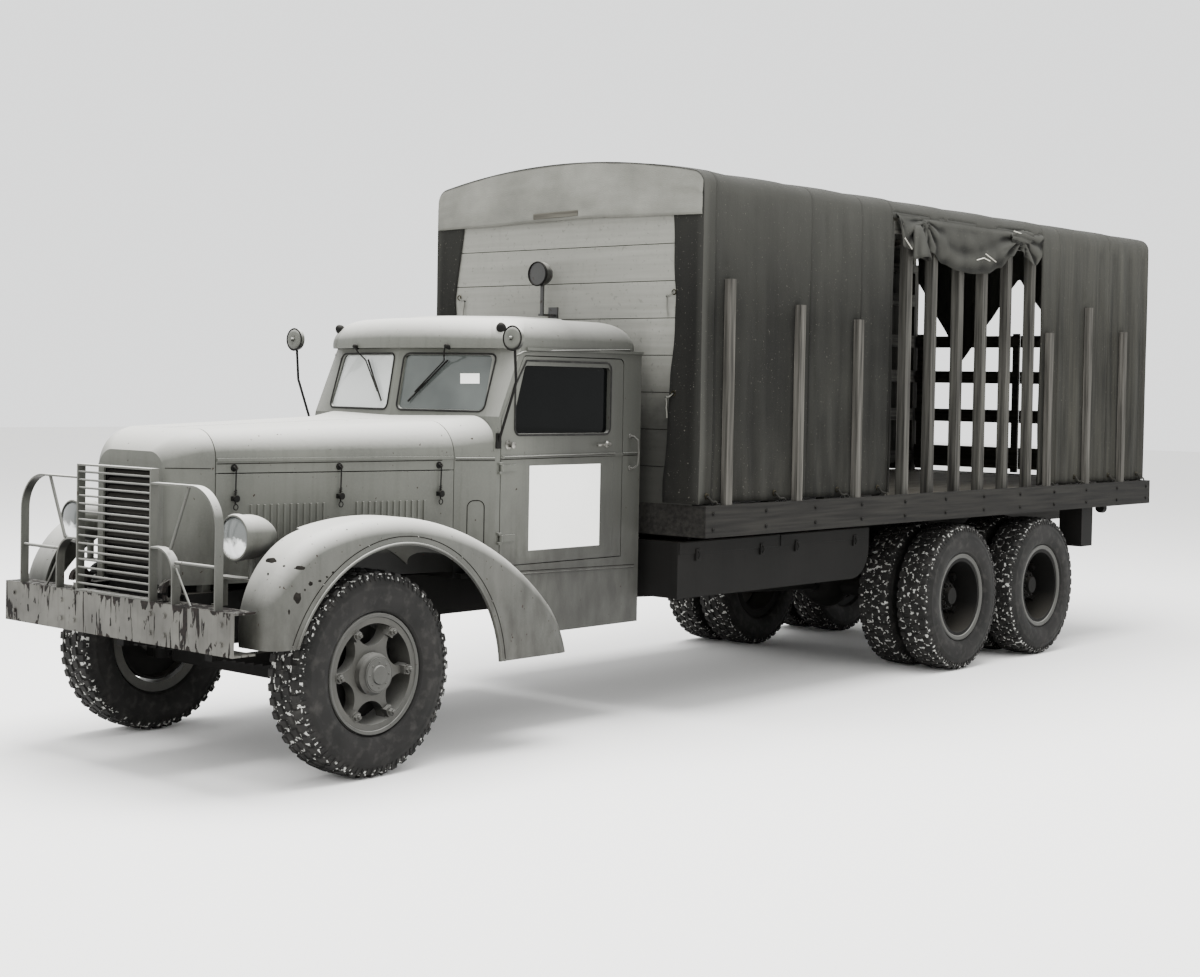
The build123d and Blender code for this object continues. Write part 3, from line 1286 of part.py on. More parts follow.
# Stowage boxes hung below the bed, ahead of and behind the rear wheels
BOX_X = (560, 1000)
BOX_Y = (-1450, 800)
BOX_Z = (750, 1110)
REAR_BOX = ((950, 1150), (3870, 4070), (820, RAIL_LOW - GAP))
with BuildPart() as boxes:
    for side in (-1, 1):
        with BuildSketch(Plane.YZ.offset(side * BOX_X[0])):
            with BuildLine():
                Line((BOX_Y[0], BOX_Z[0]), (BOX_Y[0], BOX_Z[1]))
                Line((BOX_Y[0], BOX_Z[1]), (BOX_Y[1], BOX_Z[1]))
                Line((BOX_Y[1], BOX_Z[1]), (BOX_Y[1], BOX_Z[0] + 220))
                RadiusArc((BOX_Y[1], BOX_Z[0] + 220), (BOX_Y[1] - 220, BOX_Z[0]), 220)
                Line((BOX_Y[1] - 220, BOX_Z[0]), (BOX_Y[0], BOX_Z[0]))
            make_face()
        extrude(amount=side * (BOX_X[1] - BOX_X[0]))
        for y in (BOX_Y[0] + 200, (BOX_Y[0] + BOX_Y[1]) / 2, BOX_Y[1] - 200):
            box(
                (side * (BOX_X[0] + 20), side * (BOX_X[1] - 60)),
                (y - 20, y + 20),
                (BOX_Z[1] - 1, RAIL_LOW - 4),
            )
            box((side * (FRAME_HALF_W + GAP), side * (BOX_X[0] + 40)), (y - 20, y + 20), (1020, 1060))
        box((side * REAR_BOX[0][0], side * REAR_BOX[0][1]), REAR_BOX[1], REAR_BOX[2])
keep(boxes, "stowage_boxes")

# Round mirrors on arms from the cab's front pillars
MIRROR = (950, -2975, 2354)
with BuildPart() as mirrors:
    for side in (-1, 1):
        base = (side * (CAB_HALF_W + 10), -2900, 1760)
        with Locations((side * (CAB_HALF_W + GAP + 5), base[1] - 20, base[2])):
            Box(10, 40, 90)
        rod((side * (CAB_HALF_W + 9), base[1] - 20, base[2]), (side * MIRROR[0], MIRROR[1] + 40, 2100), 8)
        rod((side * MIRROR[0], MIRROR[1] + 40, 2100), (side * MIRROR[0], MIRROR[1] + 20, MIRROR[2]), 8)
        rod((side * MIRROR[0], MIRROR[1], MIRROR[2]), (side * MIRROR[0], MIRROR[1] + 30, MIRROR[2]), 66)
keep(mirrors, "mirrors")

for label, piece in pieces.items():
    export_step(piece, f"parts/{label}.step")
    print(label, len(piece.solids()), round(piece.volume / 1e6, 2))
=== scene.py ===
# %% [markdown]
# # A six-wheeled cargo truck with a stake body and canvas cover
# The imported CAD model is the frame: every body and joint is already in place. This script gives it the
# looks that the CAD leaves out: tread, latches, folded canvas, knots, panel joints, grain and chipped paint.
# All lengths are metres. The truck faces -Y, its driver's side is +X and the ground is z = 0.

# %% Load the frame
import json
import math
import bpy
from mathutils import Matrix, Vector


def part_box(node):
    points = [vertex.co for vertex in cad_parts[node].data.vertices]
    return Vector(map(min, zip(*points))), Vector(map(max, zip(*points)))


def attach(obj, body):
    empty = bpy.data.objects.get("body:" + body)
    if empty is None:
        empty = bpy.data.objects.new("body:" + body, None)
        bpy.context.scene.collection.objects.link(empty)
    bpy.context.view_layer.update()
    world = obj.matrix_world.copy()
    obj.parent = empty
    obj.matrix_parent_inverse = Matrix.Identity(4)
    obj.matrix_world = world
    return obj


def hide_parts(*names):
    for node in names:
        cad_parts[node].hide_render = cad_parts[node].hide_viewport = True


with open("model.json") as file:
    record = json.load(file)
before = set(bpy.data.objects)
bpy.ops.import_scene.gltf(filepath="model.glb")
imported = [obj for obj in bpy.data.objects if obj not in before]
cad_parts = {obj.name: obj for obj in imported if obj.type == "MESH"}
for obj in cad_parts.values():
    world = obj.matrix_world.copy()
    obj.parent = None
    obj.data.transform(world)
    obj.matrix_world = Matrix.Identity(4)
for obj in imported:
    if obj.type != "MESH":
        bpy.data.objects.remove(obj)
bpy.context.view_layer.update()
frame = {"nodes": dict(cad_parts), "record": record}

from types import SimpleNamespace

import bmesh
import bpy
from mathutils import Matrix, Vector, noise
from mathutils.bvhtree import BVHTree

nodes = frame["nodes"]
SIDES = ((1, "left"), (-1, "right"))

# %% [markdown]
# The camera stands where the photographer stood, at the height of the cab's windows. Its place, heading and
# focal length were solved from the wheels, the bumper and the bed. The small shift frames the picture
# off the lens's axis, as the print was cropped.

# %% Camera at the photographer's place
PICTURE_W, PICTURE_H, FOCAL, SENSOR = 1200, 977, 1867.3, 36
CAMERA_AT = Vector((8.191, -10.843, 2.079))
YAW, PITCH, ROLL = (math.radians(v) for v in (42.826, -1.348, 0.986))
forward = Vector((-math.sin(YAW) * math.cos(PITCH), math.cos(YAW) * math.cos(PITCH), math.sin(PITCH)))
level_right = Vector((math.cos(YAW), math.sin(YAW), 0))
level_up = level_right.cross(forward)
right = level_right * math.cos(ROLL) + level_up * math.sin(ROLL)
up = level_up * math.cos(ROLL) - level_right * math.sin(ROLL)


def show(item):
    """Put an object into the scene."""
    bpy.context.scene.collection.objects.link(item)
    return item


camera_data = bpy.data.cameras.new("Camera")
camera_data.lens = SENSOR * FOCAL / PICTURE_W
camera_data.sensor_fit = "HORIZONTAL"
camera_data.shift_x, camera_data.shift_y = 0.080, -0.0488
camera_data.clip_end = 200
camera = show(bpy.data.objects.new("Camera", camera_data))
camera.matrix_world = Matrix.Translation(CAMERA_AT) @ Matrix((right, up, -forward)).transposed().to_4x4()
bpy.context.scene.camera = camera


def seen_through(px, py):
    """The direction from the camera to a place in the 1200 by 977 picture."""
    focal = camera_data.lens / SENSOR * PICTURE_W
    across = (px - (PICTURE_W / 2 - camera_data.shift_x * PICTURE_W)) / focal
    rise = (PICTURE_H / 2 + camera_data.shift_y * PICTURE_W - py) / focal
    return forward + right * across + up * rise


print("camera lens", round(camera_data.lens, 2), "mm")

# %% [markdown]
# Colours are written as sRGB hex, the way a paint or image program shows them. Shaders calculate with
# linear light, so one function turns the hex value into linear numbers. A second small function adds a
# shader or geometry node together with its settings and its links.

# %% Colour and node helpers
def srgb(hex_code):
    """Linear RGBA for an sRGB hex colour such as 8a8f80."""
    values = [int(hex_code[i : i + 2], 16) / 255 for i in (0, 2, 4)]
    return [v / 12.92 if v <= 0.04045 else ((v + 0.055) / 1.055) ** 2.4 for v in values] + [1.0]


def connect(tree, item, inputs):
    """Link or set a node's inputs by name or index. A colour is a hex code."""
    for key, value in inputs.items():
        socket = item.inputs[key]
        if isinstance(value, bpy.types.NodeSocket):
            tree.links.new(value, socket)
        else:
            socket.default_value = srgb(value) if socket.type == "RGBA" else value


def add_node(tree, kind, inputs=(), **settings):
    """Add a shader node, or one of another family by its full name, with its settings and inputs."""
    item = tree.nodes.new(kind if "Node" in kind else f"ShaderNode{kind}")
    for key, value in settings.items():
        setattr(item, key, value)
    connect(tree, item, inputs if isinstance(inputs, dict) else dict(enumerate(inputs)))
    return item

# %% [markdown]
# Every material is built the same way. Masks between 0 and 1 choose where one tone lies over another. A mask
# comes from a noise in the object's own coordinates, from a height or station on the truck, or from the way
# a face looks.

# %% Masks and layers that every material is built from
def start_material(name):
    """An empty material: its tree and shader, the place on the truck, and how far a face looks up."""
    material = bpy.data.materials.new(name)
    material.use_nodes = True
    tree = material.node_tree
    tree.nodes.clear()
    shader = add_node(tree, "BsdfPrincipled")
    add_node(tree, "OutputMaterial", {"Surface": shader.outputs["BSDF"]})
    coordinates = add_node(tree, "TexCoord").outputs
    x, y, z = add_node(tree, "SeparateXYZ", (coordinates["Object"],)).outputs
    upward = add_node(tree, "SeparateXYZ", (coordinates["Normal"],)).outputs["Z"]
    return SimpleNamespace(material=material, tree=tree, shader=shader, where=coordinates["Object"],
                           x=x, y=y, z=z, upward=upward)


def above(m, value, low, high, top=1.0, bottom=0.0):
    """A mask that is bottom up to low and rises to top at high."""
    return add_node(m.tree, "MapRange", (value, low, high, bottom, top)).outputs[0]


def blotches(m, size, low, high, detail=5.0, stretch=(1, 1, 1), seed=0.0, top=1.0, bottom=0.0):
    """A soft mask of patches about size metres across, bottom below low and top above high."""
    moved = add_node(m.tree, "Mapping", {"Vector": m.where, "Scale": stretch, "Location": (seed, seed, seed)})
    cloud = add_node(m.tree, "TexNoise", {"Vector": moved.outputs[0], "Scale": 1 / size, "Detail": detail})
    return above(m, cloud.outputs["Fac"], low, high, top, bottom)


def layer(m, mask, under, over):
    """Lay one tone over another by a mask. Each is a hex code or a socket."""
    return add_node(m.tree, "Mix", {0: mask, 6: under, 7: over}, data_type="RGBA").outputs[2]


def finish(m, colour, roughness, gloss=0.5, height=None, depth=0.0005, strength=0.6, **others):
    """Give the shader its colour, roughness and relief, depth metres deep, and return the material."""
    looks = {"Base Color": colour, "Roughness": roughness, "Specular IOR Level": gloss, **others}
    connect(m.tree, m.shader, looks)
    if height is not None:
        relief = add_node(m.tree, "Bump", {"Height": height, "Distance": depth, "Strength": strength})
        connect(m.tree, m.shader, {"Normal": relief.outputs["Normal"]})
    return m.material

# %% [markdown]
# Every painted panel is brushed alkyd enamel that has stood outdoors. It chalks to a paler tone in patches,
# dust and a painted sky sheen pale the faces that look up, painted shade with road dirt blackens those that
# look down, painted shade under the fenders with road dirt darkens the panels beside the front wheels,
# painted shade darkens the rear of the cab's side, rain draws faint upright streaks, and it chips where it
# is knocked. One recipe with a few numbers makes the cab, the fenders, the wheels and the dark chassis paint.

# %% Paint: weathered brushed enamel
RAIN = (1, 1, 0.06)
WHEEL_HOUSE = SimpleNamespace(front=-4.45, rear=-3.0, top=1.16)
CAB_REAR = -2.25


def enamel(name, base, chalk, stain, roughness, streaks=0.4, chips=0.70, dust_and_sheen="c6c5bf", dust_and_sheen_share=0.8,
           low_edge=None, gloss=0.25, arch_shade_and_dirt=0.0):
    """Weathered enamel. Lower chips values bare more primer. Mud splashes below the height low_edge."""
    m = start_material(name)
    colour = layer(m, blotches(m, 0.45, 0.35, 0.70, top=0.8), base, chalk)
    colour = layer(m, blotches(m, 0.045, 0.50, 0.80, stretch=RAIN, seed=3.0, top=streaks), colour, stain)
    colour = layer(m, blotches(m, 0.012, 0.45, 0.75, detail=2.0, seed=5.0, top=0.35), colour, chalk)
    # Faces that look up turn paler: settled dust, and a painted sheen of the sky on the tops.
    colour = layer(m, above(m, m.upward, 0.25, 0.95, dust_and_sheen_share), colour, dust_and_sheen)
    # Faces that look down are darkened nearly black: painted shade, with some road dirt.
    colour = layer(m, above(m, m.upward, -0.20, -0.60, 0.9), colour, "0e0e0d")
    if low_edge:
        splash = blotches(m, 0.09, 0.20, 0.65, stretch=(1, 1, 0.5), seed=8.0)
        low = above(m, m.z, low_edge, low_edge - 0.50, 0.75)
        mud = add_node(m.tree, "Math", (splash, low), operation="MULTIPLY")
        colour = layer(m, mud.outputs[0], colour, "211f1b")
        # The rear of the cab's side, beside the bed and bulkhead, is darkened: painted shade.
        colour = layer(m, above(m, m.y, CAB_REAR - 0.5, CAB_REAR, 0.65), colour, "1c1c1a")
        # Inside the front wheel houses, below the fender tops, the panels are darkened nearly black: painted
        # shade under the fenders, with mud.
        before = above(m, m.y, WHEEL_HOUSE.rear + 0.05, WHEEL_HOUSE.rear - 0.05)
        behind = above(m, m.y, WHEEL_HOUSE.front - 0.05, WHEEL_HOUSE.front + 0.05)
        beside = add_node(m.tree, "Math", (before, behind), operation="MULTIPLY")
        low = above(m, m.z, WHEEL_HOUSE.top + 0.03, WHEEL_HOUSE.top - 0.03, arch_shade_and_dirt)
        house = add_node(m.tree, "Math", (beside.outputs[0], low), operation="MULTIPLY")
        colour = layer(m, house.outputs[0], colour, "0c0c0b")
    chipped = blotches(m, 0.030, chips, chips + 0.03, detail=6.0, seed=7.0)
    return finish(m, layer(m, chipped, colour, "29201a"), above(m, chipped, 0, 1, 0.9, roughness), gloss,
                  blotches(m, 0.015, 0.2, 0.8, detail=3.0), 0.0005, 0.5)


cab_enamel = enamel("weathered_cab_enamel", "4b4c47", "575852", "3b3c36", 0.50, low_edge=1.50, arch_shade_and_dirt=0.95)
fender_enamel = enamel("weathered_fender_enamel", "444541", "52524d", "33342f", 0.52, chips=0.68,
                       low_edge=1.25)
rim_enamel = enamel("dusty_rim_enamel", "363633", "42423f", "262622", 0.55, streaks=0.2, dust_and_sheen_share=0.25)
chassis_enamel = enamel("dark_chassis_enamel", "0e0e0d", "151413", "080807", 0.7, dust_and_sheen="33312d", chips=0.72,
                        gloss=0.10)
lamp_enamel = enamel("black_lamp_enamel", "1e1e1d", "2c2c2a", "101010", 0.3, dust_and_sheen="8a8982", chips=0.62,
                     gloss=0.5)
wheel_enamel = enamel("dull_wheel_enamel", "333330", "41403c", "1d1c1a", 0.55, streaks=0.3, dust_and_sheen_share=0.25)
white_enamel = enamel("white_panel_enamel", "f0f0ec", "f7f7f4", "e2e1da", 0.5, streaks=0.1, chips=0.9)
print("paints:", [m.name for m in bpy.data.materials])

# %% [markdown]
# The bumper is the most knocked piece. Its grey paint has scaled off in dark rust along both edges and runs
# down from them in ragged drips. The mask adds the closeness of an edge to a noise stretched upright. Knocks
# have gathered the scaling round a slanting scar near the middle and round one end.

# %% Paint on the bumper, scaled off along its edges
BUMPER_LOW, BUMPER_HIGH = 0.716, 0.936
SCALED_FROM = 0.655


def scaled_bumper_paint():
    m = start_material("scaled_bumper_enamel")
    scar = add_node(m.tree, "Math", (m.z, 1.3, m.x), operation="MULTIPLY_ADD").outputs[0]
    cluster = blotches(m, 0.30, 0.35, 0.75, detail=2.0, seed=9.0, top=0.05)
    for value, middle, reach, pull in ((scar, 0.05, 0.10, 0.16), (m.x, 0.66, 0.16, 0.07)):
        off = add_node(m.tree, "Math", (value, middle), operation="SUBTRACT")
        away = add_node(m.tree, "Math", (off.outputs[0],), operation="ABSOLUTE")
        pulled = above(m, away.outputs[0], reach, 0.0, pull)
        cluster = add_node(m.tree, "Math", (cluster, pulled), operation="ADD").outputs[0]
    flakes = blotches(m, 0.040, 0.0, 1.0, detail=9.0, stretch=(1, 1, 0.45), seed=4.0)
    drips = blotches(m, 0.022, 0.0, 1.0, detail=4.0, stretch=(1, 1, 0.10), seed=11.0)
    scores = []
    for pattern, top_reach, top_pull, low_pull in ((flakes, 0.045, 0.17, 0.10), (drips, 0.15, 0.06, 0.0)):
        from_top = above(m, m.z, BUMPER_HIGH - top_reach, BUMPER_HIGH, top_pull)
        from_low = above(m, m.z, BUMPER_LOW + 0.03, BUMPER_LOW - 0.005, low_pull)
        edges = add_node(m.tree, "Math", (from_top, from_low), operation="ADD").outputs[0]
        pulled = add_node(m.tree, "Math", (edges, cluster), operation="ADD").outputs[0]
        scores.append(add_node(m.tree, "Math", (pulled, pattern), operation="ADD").outputs[0])
    worst = add_node(m.tree, "Math", scores, operation="MAXIMUM").outputs[0]
    rust = above(m, worst, SCALED_FROM, SCALED_FROM + 0.025)
    paint = layer(m, blotches(m, 0.16, 0.35, 0.7), "42413d", "55544f")
    paint = layer(m, blotches(m, 0.03, 0.50, 0.75, stretch=(1, 1, 0.12), seed=2.0, top=0.35), paint, "2b2721")
    brown = layer(m, blotches(m, 0.02, 0.35, 0.7, seed=6.0), "0a0807", "191310")
    return finish(m, layer(m, rust, paint, brown), above(m, rust, 0, 1, 0.92, 0.55), 0.25, rust, -0.0008, 0.8)


bumper_enamel = scaled_bumper_paint()

# %% [markdown]
# Door handles and knobs are plated steel gone dull. Metals take their colour from the base colour and keep
# the default IOR. Eyelets are brass.

# %% Bare and plated metals
def dull_metal(name, clean, tarnish, roughness):
    m = start_material(name)
    spots = blotches(m, 0.025, 0.42, 0.68, detail=6.0)
    rough = above(m, spots, 0, 1, roughness + 0.3, roughness)
    return finish(m, layer(m, spots, clean, tarnish), rough, Metallic=1.0)


bright_steel = dull_metal("dull_plated_steel", "85847f", "4c4a45", 0.35)
dull_brass = dull_metal("weathered_brass", "332f22", "1b1914", 0.45)

# %% [markdown]
# Tyres are vulcanised rubber: nearly black, greyed by road dust that stays in the tread and on the side
# walls, with no clear gloss. Pale slush has packed into the grooves of the tread, which the meshes mark
# with the attribute "packed". Window glass is float glass. Its surface is smooth, so its character comes from
# the dark cab behind it and from a film of dust. The door panes are painted nearly black, painted shade of
# the cab inside, and the screen's far pane is painted pale, a painted reflection of the sky. A headlamp's
# pressed lens covers a silvered bowl, and its colour is a painted reflection: the upper half painted dark
# for the ground ahead, the lower half pale for the sky.

# %% Rubber and glass
def tyre_rubber():
    m = start_material("road_worn_rubber")
    colour = layer(m, blotches(m, 0.16, 0.35, 0.75), "10100f", "1d1c1b")
    colour = layer(m, blotches(m, 0.05, 0.50, 0.75, detail=8.0, seed=2.0, top=0.25), colour, "484643")
    groove = add_node(m.tree, "Attribute", attribute_name="packed").outputs["Fac"]
    lumps = blotches(m, 0.024, 0.55, 0.60, detail=3.0, seed=8.0)
    slush = add_node(m.tree, "Math", (above(m, groove, 0.35, 0.75), lumps), operation="MULTIPLY")
    colour = layer(m, slush.outputs[0], colour, "acaca8")
    return finish(m, colour, 0.78, 0.2, blotches(m, 0.006, 0.2, 0.8), 0.0004)


def float_glass(name, tint, film, clear, roughness=0.04, gloss=0.5, sky_reflection_side=0.0):
    m = start_material(name)
    colour = layer(m, blotches(m, 0.25, 0.35, 0.8, detail=2.0, top=0.4), tint, film)
    # The far pane, beyond x = 0, is painted pale: a painted reflection of the sky.
    colour = layer(m, above(m, m.x, 0.0, -0.02, sky_reflection_side), colour, "dfe2e0")
    return finish(m, colour, roughness, gloss, **{"IOR": 1.5, "Transmission Weight": clear})


def pressed_lamp_lens():
    m = start_material("pressed_lamp_lens")
    level = add_node(m.tree, "Math", (m.z, blotches(m, 0.05, 0.3, 0.7, top=0.05)), operation="ADD").outputs[0]
    # Painted reflection: the lens is grey above the bowl's middle height for the dark ground, and pale below
    # for the sky.
    colour = layer(m, above(m, level, 1.268, 1.300), "e9ebea", "565958")
    return finish(m, colour, 0.15, **{"Coat Weight": 0.6})


rubber = tyre_rubber()
screen_glass = float_glass("screen_glass_dust_and_sky_reflection", "444947", "707572", 0.30, sky_reflection_side=0.75)
window_glass = float_glass("shaded_window_glass", "070808", "0c0d0d", 0.10, 0.02, gloss=0.02)
lens_glass = pressed_lamp_lens()

# %% [markdown]
# The woods differ in finish. The racks and stakes are bare sawn pine, gone silver in the weather. The
# bulkhead is tongued boards under thin grey paint. The rails are dark oiled oak and the floor is worn oak.
# Grain is a noise stretched along the board, so each direction of board gets a material of its own. The
# racks hold boards that run both ways in one piece, so theirs picks the grain by where a point lies.

# %% Woods with their grain along an axis
def grain(m, along, pale, dark, width=0.006, wear=0.5):
    """Colour and height of wood whose fibres, width metres wide, run along axis 0, 1 or 2."""
    stretch = [0.04 if axis == along else 1.0 for axis in range(3)]
    fibres = blotches(m, width * 4, 0.30, 0.72, detail=8.0, stretch=stretch)
    boards = blotches(m, 0.35, 0.3, 0.7, stretch=stretch, seed=5.0, top=wear)
    return layer(m, boards, layer(m, fibres, dark, pale), dark), fibres


def sawn_wood(name, pale, dark, along, wear=0.5, second=None, chosen=None):
    """Wood with its grain along one axis, or along a second where the mask that chosen(m) makes is 1."""
    m = start_material(name)
    colour, fibres = grain(m, along, pale, dark, wear=wear)
    if chosen:
        other, other_fibres = grain(m, second, pale, dark, wear=wear)
        mask = chosen(m)
        colour = layer(m, mask, colour, other)
        fibres = add_node(m.tree, "Mix", {0: mask, 2: fibres, 3: other_fibres}).outputs[0]
    return finish(m, colour, 0.8, 0.15, fibres, 0.0018)


def inside_posts(m):
    """1 on the boards nailed inside the posts and on the top rail, which run lengthwise."""
    across = add_node(m.tree, "Math", (m.x,), operation="ABSOLUTE").outputs[0]
    boards = add_node(m.tree, "Math", (across, 1.0845), operation="LESS_THAN").outputs[0]
    rail = add_node(m.tree, "Math", (m.z, 3.2195), operation="GREATER_THAN").outputs[0]
    return add_node(m.tree, "Math", (boards, rail), operation="MAXIMUM").outputs[0]


def before_battens(m):
    """1 on the gates' boards, which lie in front of their upright battens."""
    return add_node(m.tree, "Math", (m.y, 4.9525), operation="LESS_THAN").outputs[0]


def bulkhead_boards():
    """Streaked along the board, scuffed, and darker towards the foot with dirt and painted shade."""
    m = start_material("painted_bulkhead_boards")
    colour, fibres = grain(m, 0, "7c7c76", "70706a", 0.008, 0.25)
    colour = layer(m, blotches(m, 0.05, 0.5, 0.8, stretch=(1, 1, 0.3), seed=4.0, top=0.15), colour, "4f4f4a")
    colour = layer(m, blotches(m, 0.025, 0.62, 0.70, detail=8.0, seed=13.0, top=0.3), colour, "3a3a36")
    cloudy = blotches(m, 0.5, 0.2, 0.8, seed=1.0, top=0.35)
    level = add_node(m.tree, "Math", (m.z, cloudy), operation="ADD").outputs[0]
    # Darker towards the foot, where the cab stands in front: dirt, and painted shade.
    colour = layer(m, above(m, level, 2.70, 2.05, 0.92), colour, "161614")
    return finish(m, colour, 0.7, 0.15, fibres, 0.0008)


stake_pine = sawn_wood("bare_pine_stakes", "5b5954", "242320", 2)
rack_pine = sawn_wood("bare_pine_racks", "53524d", "201f1d", 2, second=1, chosen=inside_posts)
gate_pine = sawn_wood("bare_pine_gates", "4a4841", "23211c", 2, second=0, chosen=before_battens)
cross_pine = sawn_wood("bare_pine_crosswise", "64625a", "34322d", 0)
floor_oak = sawn_wood("worn_oak_floor", "666259", "33302a", 1)
rail_oak = sawn_wood("oiled_oak_rails", "262522", "0f0e0d", 1, wear=0.6)
board_paint = bulkhead_boards()

# %% [markdown]
# The cover is heavy proofed cotton duck. Thread is too fine to show at this distance, so the weave is drawn
# 6 mm coarse. Water marks run down the sides, the roof is bleached by the sun, and the tail, which the
# wheels throw mud at, is paler and streakier than the rest. The valleys of the folds are darkened with
# painted shade and some dirt, and their ridges are lightened with a painted highlight, which the meshes tell
# the shader through the attribute "crease". The side cloth wrapped round the front corners is dark, and the
# flap that hangs over it in front is worn pale.

# %% Canvas, seat cover, and dark paint for gap shade and rust
WRAP_FRONT, FLAP_FRONT = -1.464, -1.4708
STREAKS = (1, 1, 0.05)


def cotton_duck(name, base, pale, dark, roof="2e2e2c", flap="72726c", pale_top="4a4a46"):
    m = start_material(name)
    colour = layer(m, blotches(m, 0.8, 0.35, 0.7), base, pale)
    colour = layer(m, blotches(m, 0.09, 0.45, 0.85, stretch=STREAKS, seed=1.0, top=0.7), colour, dark)
    splash = blotches(m, 0.05, 0.30, 0.75, stretch=STREAKS, seed=6.0)
    tail = add_node(m.tree, "Math", (above(m, m.y, 2.6, 3.4, 0.75), splash), operation="MULTIPLY")
    colour = layer(m, tail.outputs[0], colour, "3a3934")
    splash = blotches(m, 0.06, 0.35, 0.7, stretch=(1, 1, 0.2), seed=2.0)
    hem = add_node(m.tree, "Math", (above(m, m.z, 1.85, 1.38, 0.5), splash), operation="MULTIPLY")
    colour = layer(m, hem.outputs[0], colour, "302f2b")
    colour = layer(m, above(m, m.z, 2.55, 3.35, 0.40), colour, pale_top)
    # Painted shade in the valleys of the folds, with some dirt, and a painted highlight on their ridges.
    crease = add_node(m.tree, "Attribute", attribute_name="crease").outputs["Fac"]
    colour = layer(m, above(m, crease, 0.05, 1.0, 0.75), colour, dark)
    colour = layer(m, above(m, crease, -0.05, -1.0, 0.45), colour, pale_top)
    colour = layer(m, above(m, m.y, WRAP_FRONT + 0.0005, WRAP_FRONT - 0.0005, 0.60), colour, dark)
    worn = blotches(m, 0.35, 0.30, 0.70, seed=14.0, bottom=0.55)
    over = above(m, m.y, FLAP_FRONT + 0.0004, FLAP_FRONT - 0.0004)
    hanging = add_node(m.tree, "Math", (over, worn), operation="MULTIPLY")
    colour = layer(m, hanging.outputs[0], colour, flap)
    # More painted shade in the valleys of the folds.
    colour = layer(m, above(m, crease, 0.05, 1.0, 0.40), colour, dark)
    colour = layer(m, above(m, m.upward, 0.1, 0.9, 0.6), colour, roof)
    colour = layer(m, blotches(m, 0.012, 0.68, 0.72, seed=9.0, top=0.6), colour, "626058")
    weave = blotches(m, 0.006, 0.3, 0.7, detail=1.0)
    rumple = blotches(m, 0.16, 0.35, 0.65, detail=3.0, stretch=(1, 1, 0.35), seed=12.0)
    height = add_node(m.tree, "Math", (rumple, 4.0, weave), operation="MULTIPLY_ADD").outputs[0]
    return finish(m, colour, 0.9, 0.1, height, 0.0012, 0.7)


def plain_coat(name, size, dark, pale, roughness, gloss=0.5, grained=None):
    """A coating with soft patches, and with a fine grain pressed into it if asked."""
    m = start_material(name)
    height = blotches(m, grained, 0.3, 0.7) if grained else None
    return finish(m, layer(m, blotches(m, size, 0.35, 0.7), dark, pale), roughness, gloss, height)


duck = cotton_duck("proofed_cotton_duck", "1c1c1a", "272724", "0e0e0d")
duck_seam = cotton_duck("seam_folded_duck", "161614", "20201e", "0b0b0a")
sash_cord = cotton_duck("pale_cotton_cord", "a8a59a", "b9b7ad", "6f6c62", roof="c9c7be", flap="a8a59a",
                        pale_top="b5b3a9")
leathercloth = plain_coat("coated_seat_cloth", 0.2, "13100d", "1e1a15", 0.5, grained=0.004)
# Near black: painted shade in grooves and gaps, also used for the dark panel joints and the bare rust spots.
seam_shadow = plain_coat("dark_gap_shade_and_rust", 0.05, "0f0e0d", "22201d", 0.85, 0.05)
print("materials so far:", len(bpy.data.materials))

# %% [markdown]
# CAD nodes whose shape is already right stay as they are and only get their finish.

# %% Finishes for the CAD nodes
WHEELS = [f"front_wheel_{word}" for _, word in SIDES]
WHEELS += [f"rear_wheel_{n}_{word}" for n in (1, 2) for _, word in SIDES]
TYRES = [name.replace("wheel", "tyre" if "front" in name else "tyres") for name in WHEELS]
finishes = {
    cab_enamel: "nose_shell hood_sides hood_left hood_right cowl cab_shell door_left door_right headlights",
    lamp_enamel: "bulkhead_lamp",
    fender_enamel: "front_fenders brush_guard",
    bumper_enamel: "front_bumper",
    chassis_enamel: "frame crossmembers radiator_grille steering_wheel front_axle engine drive_shafts "
                    "rear_axles knuckle_left knuckle_right tie_rod stowage_boxes mirrors "
                    + " ".join(WHEELS[2:]),
    screen_glass: "cab_glass",
    window_glass: "door_glass_left door_glass_right",
    lens_glass: "headlight_lenses",
    leathercloth: "seat",
    rail_oak: "bed_frame",
    floor_oak: "bed_floor",
    board_paint: "front_bulkhead",
    rack_pine: "side_racks",
    stake_pine: "outer_stakes",
    gate_pine: "rear_gate_left rear_gate_right",
    cross_pine: "roof_bows",
    duck: "canvas_cover",
    wheel_enamel: " ".join(WHEELS[:2]),
    rubber: " ".join(TYRES),
}
for material, names in finishes.items():
    for name in names.split():
        mesh = nodes[name].data
        mesh.materials.clear()
        mesh.materials.append(material)
print("finished", sum(len(names.split()) for names in finishes.values()), "CAD nodes")

# %% [markdown]
# Small parts are drawn into one bmesh per piece: blocks, bent rods and turned rings. A piece is then given
# its finish, its body to ride on, and slightly rounded edges, since no real edge is perfectly sharp.

# %% Helpers that draw blocks, rods and turned shapes
def add_block(shape, low, high, turn=None):
    """A box between two corners, turned about its own centre if asked."""
    centre = (Vector(low) + Vector(high)) / 2
    size = Vector(high) - Vector(low)
    place = Matrix.Translation(centre) @ (turn or Matrix()) @ Matrix.Diagonal((*map(abs, size), 1))
    bmesh.ops.create_cube(shape, size=1, matrix=place)


def full_turn(count):
    """Angles spaced evenly round a full turn."""
    return [2 * math.pi * k / count for k in range(count)]


